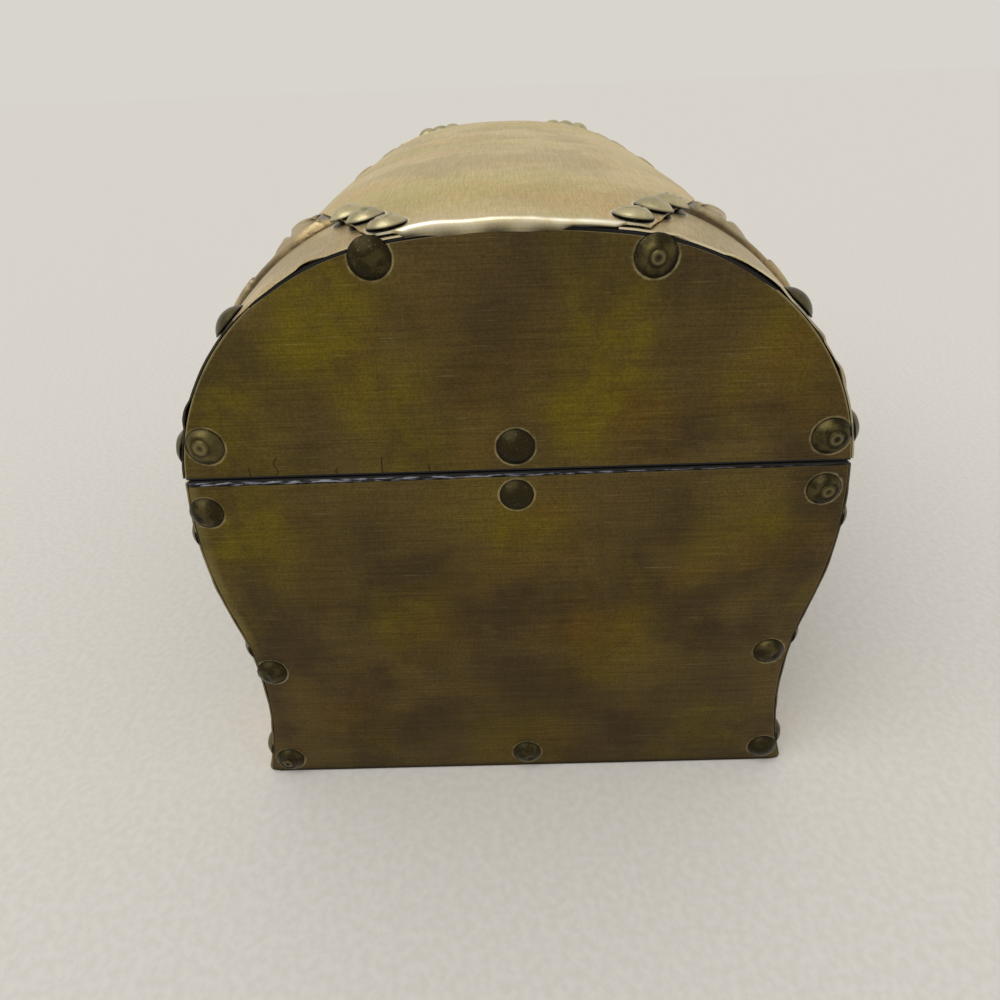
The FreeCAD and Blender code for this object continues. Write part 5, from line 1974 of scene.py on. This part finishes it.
    def pressed(self, part: Part, face: Face, x: Grid, along: Grid, relief: Grid) -> bpy.types.Object:
        """Press a relief into a panel and make its mesh.

        Args:
            part: Body or lid.
            face: Long side that it is on.
            x: Places along the length.
            along: Places round the lid's section, or heights on the body.
            relief: Height of the relief.

        Returns:
            The panel.
        """
        seed = 90 + 2 * (face is Face.FRONT) + (part is Part.LID)
        uneven = 0.07 * ripples(x, along, 17.0, seed)
        outside, inside = (self.form.layer(part, along, offset, x, face)
                           for offset in (PLAY + SHEET + relief + np.maximum(uneven, 0), PLAY + 0 * relief))
        level = relief / max(float(relief.max()), 0.1)
        marks = {"edge": 0.4 * border_mark(*x.shape), "relief": np.sqrt(np.clip(level * 1.35, 0, 1)),
                 "dark": 0.85 * (1 - eased(relief, 0.0, 0.35))}
        name = "%s_%s_panel_piece" % (part.word, face.word)
        return closed_sheet(name, outside, inside, marks, self.back_step)


@dataclass
class NailWork:
    """All nails. The looks on the photographed end are set one by one, from the lowest nail up."""

    finishes: Finishes
    seed: int = 5
    end_tarnish: float = 0.75
    side_tarnish: float = 0.5
    style_shares: Tuple[float, ...] = (0.62, 0.08, 0.15, 0.15)
    lid_end: Tuple[NailLook, ...] = (
        NailLook(NailStyle.SMOOTH, 0, 1.0), NailLook(NailStyle.CRATERED, 80, 0.75),
        NailLook(NailStyle.CRATERED, -120, 0.5), NailLook(NailStyle.RINGED, 40, 0.7),
        NailLook(NailStyle.SMOOTH, 0, 0.85))
    body_end: Tuple[NailLook, ...] = (
        NailLook(NailStyle.CRATERED, -60, 0.8), NailLook(NailStyle.DENTED, 20, 0.85),
        NailLook(NailStyle.SMOOTH, 0, 0.95), NailLook(NailStyle.DENTED, -90, 0.85),
        NailLook(NailStyle.DENTED, 60, 0.8), NailLook(NailStyle.DENTED, -75, 0.8),
        NailLook(NailStyle.CRATERED, 80, 0.75), NailLook(NailStyle.SMOOTH, 0, 0.95))

    def build(self) -> None:
        """Drive every nail."""
        heads = [NailHead(style).build() for style in NailStyle]
        driver = NailDriver("nail_heads", heads, self.finishes.nail)
        draw = np.random.default_rng(self.seed)
        for part, photographed in ((Part.BODY, self.body_end), (Part.LID, self.lid_end)):
            for side in (*End, *Face):
                shown = photographed if side is End.RIGHT else None
                tarnish = self.end_tarnish if isinstance(side, End) else self.side_tarnish
                self.group(driver, "%s_%s_nails" % (part.word, side.word), part, shown, draw, tarnish)
        # Crown nails: no tarnish, and their own paler finish, as painted light.
        self.group(driver, "lid_crown_nails", Part.LID, None, draw, 0.0)
        driver.put_away()

    def group(self, driver: NailDriver, node: str, part: Part, shown: Optional[Sequence[NailLook]],
              draw: np.random.Generator, tarnish: float) -> None:
        """Drive the nails of one node.

        Args:
            driver: What sets the heads.
            node: CAD node with the nails.
            part: Body that they ride on.
            shown: Looks of the nails that the photograph shows.
            draw: Source of the other looks.
            tarnish: How dark the other nails are.
        """
        count = len(nail_places(node))
        styles = draw.choice(len(NailStyle), count, p=self.style_shares)
        looks = [NailLook(NailStyle(int(style)), draw.uniform(0, 360), tarnish + draw.uniform(-0.1, 0.15))
                 for style in styles]
        # Crown nails take the paler finish that is painted light.
        finish = self.finishes.crown_nail if "crown" in node else self.finishes.nail
        settle(driver.drive(node, shown or looks), part, finish, "nail_brass", node)


@dataclass
class Woodwork:
    """Boards, staves and linings, whose CAD shapes stay."""

    finishes: Finishes

    def build(self) -> None:
        """Dress the boards and the linings."""
        for node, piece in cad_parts.items():
            if node.endswith(("_board", "_stave")):
                dress(piece, self.finishes.wood)
                log.info("%s: wood", node)
            elif node.endswith("_lining"):
                dress(piece, self.finishes.card)
                log.info("%s: papered card", node)


@dataclass
class Fittings:
    """Hinges, screws and the hook latch, with their edges eased."""

    finishes: Finishes
    easing: float = 0.22
    thin_easing: float = 0.15
    slot_lean: float = 37.0
    screw_tarnish: float = 0.3

    def build(self) -> None:
        """Make every fitting."""
        for end in End:
            for word, part in (("body_leaf", Part.BODY), ("lid_leaf", Part.LID)):
                node = "hinge_%s_%s" % (end.word, word)
                settle(eased_copy(node, self.easing), part, self.finishes.fitting, "fitting_brass", node)
            node = "hinge_%s_pin" % end.word
            settle(eased_copy(node, self.easing), Part.BODY, self.finishes.screw, "steel_pin", node)
        for node, part in (("latch_body_rosette", Part.BODY), ("latch_lid_rosette", Part.LID),
                           ("latch_pivot_post", Part.BODY), ("latch_stud", Part.LID),
                           ("latch_hook", Part.HOOK)):
            width = self.thin_easing if "rosette" in node else self.easing
            settle(eased_copy(node, width), part, self.finishes.fitting, "fitting_brass", node)
        driver = NailDriver("screw_heads", [ScrewHead().build()], self.finishes.screw)
        for node, part in (("hinge_body_screws", Part.BODY), ("hinge_lid_screws", Part.LID)):
            looks = [NailLook(NailStyle.SMOOTH, self.slot_lean * number, self.screw_tarnish)
                     for number in range(len(nail_places(node)))]
            settle(driver.drive(node, looks), part, self.finishes.screw, "steel_pin", node)
        driver.put_away()


# Studio

@dataclass(frozen=True)
class TakingCamera:
    """The camera, where the photograph was taken from: close to the right end and a little above."""

    lens: float = 27.0
    sensor: float = 36.0
    distance: float = 196.0
    height: float = 232.3
    sideways: float = -1.74
    dip: float = 30.3
    turn: float = -0.99
    roll: float = 2.22

    def build(self, plate_x: float) -> None:
        """Make the camera.

        Args:
            plate_x: Place of the end plate's face along the length.
        """
        data = bpy.data.cameras.new("taking_camera")
        data.lens = self.lens
        data.sensor_width = self.sensor
        camera = stand("taking_camera", data)
        dip, turn, roll = (math.radians(angle) for angle in (self.dip, self.turn, self.roll))
        forward = Vector((-math.cos(turn) * math.cos(dip), math.sin(turn) * math.cos(dip), -math.sin(dip)))
        level = forward.cross(Vector((0, 0, 1))).normalized()
        above = level.cross(forward)
        right = math.cos(roll) * level - math.sin(roll) * above
        up = math.sin(roll) * level + math.cos(roll) * above
        place = Vector((plate_x + self.distance, self.sideways, self.height)) * MM
        rows = [[right[i], up[i], -forward[i], place[i]] for i in range(3)] + [[0, 0, 0, 1]]
        camera.matrix_world = Matrix(rows)
        bpy.context.scene.camera = camera


@dataclass(frozen=True)
class Studio:
    """Pale floor, an even pale surround, and one broad soft light from above and in front."""

    floor: str = "#d4d0c8"
    fleck: str = "#c6c1b7"
    fleck_size: float = 3.0
    surround: str = "#d8d5ce"
    surround_level: float = 0.75
    reach: float = 9000.0
    light_level: float = 1.25
    light_spread: float = 60.0
    light_from: Tuple[float, float, float] = (0.45, -0.4, 0.8)

    def build(self) -> None:
        """Make floor, surround and light."""
        self.make_floor()
        self.make_surround()
        data = bpy.data.lights.new("soft_light", "SUN")
        data.energy = self.light_level
        data.angle = math.radians(self.light_spread)
        stand("soft_light", data).rotation_euler = Vector(self.light_from).to_track_quat("Z", "Y").to_euler()
        bpy.context.scene.view_settings.view_transform = "Standard"

    def make_floor(self) -> None:
        """Make the floor."""
        points = [(x * self.reach, y * self.reach, 0.0) for x, y in ((-1, -1), (1, -1), (1, 1), (-1, 1))]
        floor = mesh_object("studio_floor", points, [[0, 1, 2, 3]], {})
        paper = Surface("matt_laid_paper_floor", self.floor)
        paper.lay(self.fleck, paper.share(paper.grain(self.fleck_size, 3.0), 0.3, 0.7, 0.0, 0.5))
        dress(floor, paper.finished(0.9))

    def make_surround(self) -> None:
        """Light the scene evenly, and show a pale surround to the camera and to gloss."""
        world = bpy.data.worlds.new("surround")
        world.use_nodes = True
        bpy.context.scene.world = world
        tree = world.node_tree
        tree.nodes.clear()
        path = add_node(tree, "ShaderNodeLightPath").outputs
        seen = path["Is Camera Ray"]
        for ray in ("Is Glossy Ray", "Is Transmission Ray"):
            seen = add_node(tree, "ShaderNodeMath", {"operation": "MAXIMUM", "use_clamp": True},
                            {0: seen, 1: path[ray]}).outputs[0]
        light = add_node(tree, "ShaderNodeBackground", {}, {0: linear("#ffffff"), 1: self.surround_level})
        shown = add_node(tree, "ShaderNodeBackground", {}, {0: linear(self.surround), 1: 1.0})
        both = add_node(tree, "ShaderNodeMixShader", {}, {0: seen, 1: light.outputs[0], 2: shown.outputs[0]})
        add_node(tree, "ShaderNodeOutputWorld", {}, {0: both.outputs[0]})


def save_sizes() -> None:
    """Bring the scene's placements up to date."""
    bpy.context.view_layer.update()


def main() -> None:
    """Build the studio and every sub-assembly."""
    logging.basicConfig(level=logging.INFO, format="%(message)s")
    form = TrunkForm.from_frame()
    TakingCamera().build(form.half_length + SHEET)
    Studio().build()
    finishes = Finishes.made(form)
    Woodwork(finishes).build()
    EndPlates(form, finishes).build()
    SideBands(form, finishes).build()
    SidePanels(form, finishes, Embossing()).build()
    CrownSheet(form, finishes).build()
    NailWork(finishes).build()
    Fittings(finishes).build()
    save_sizes()


if __name__ == "__main__":
    main()
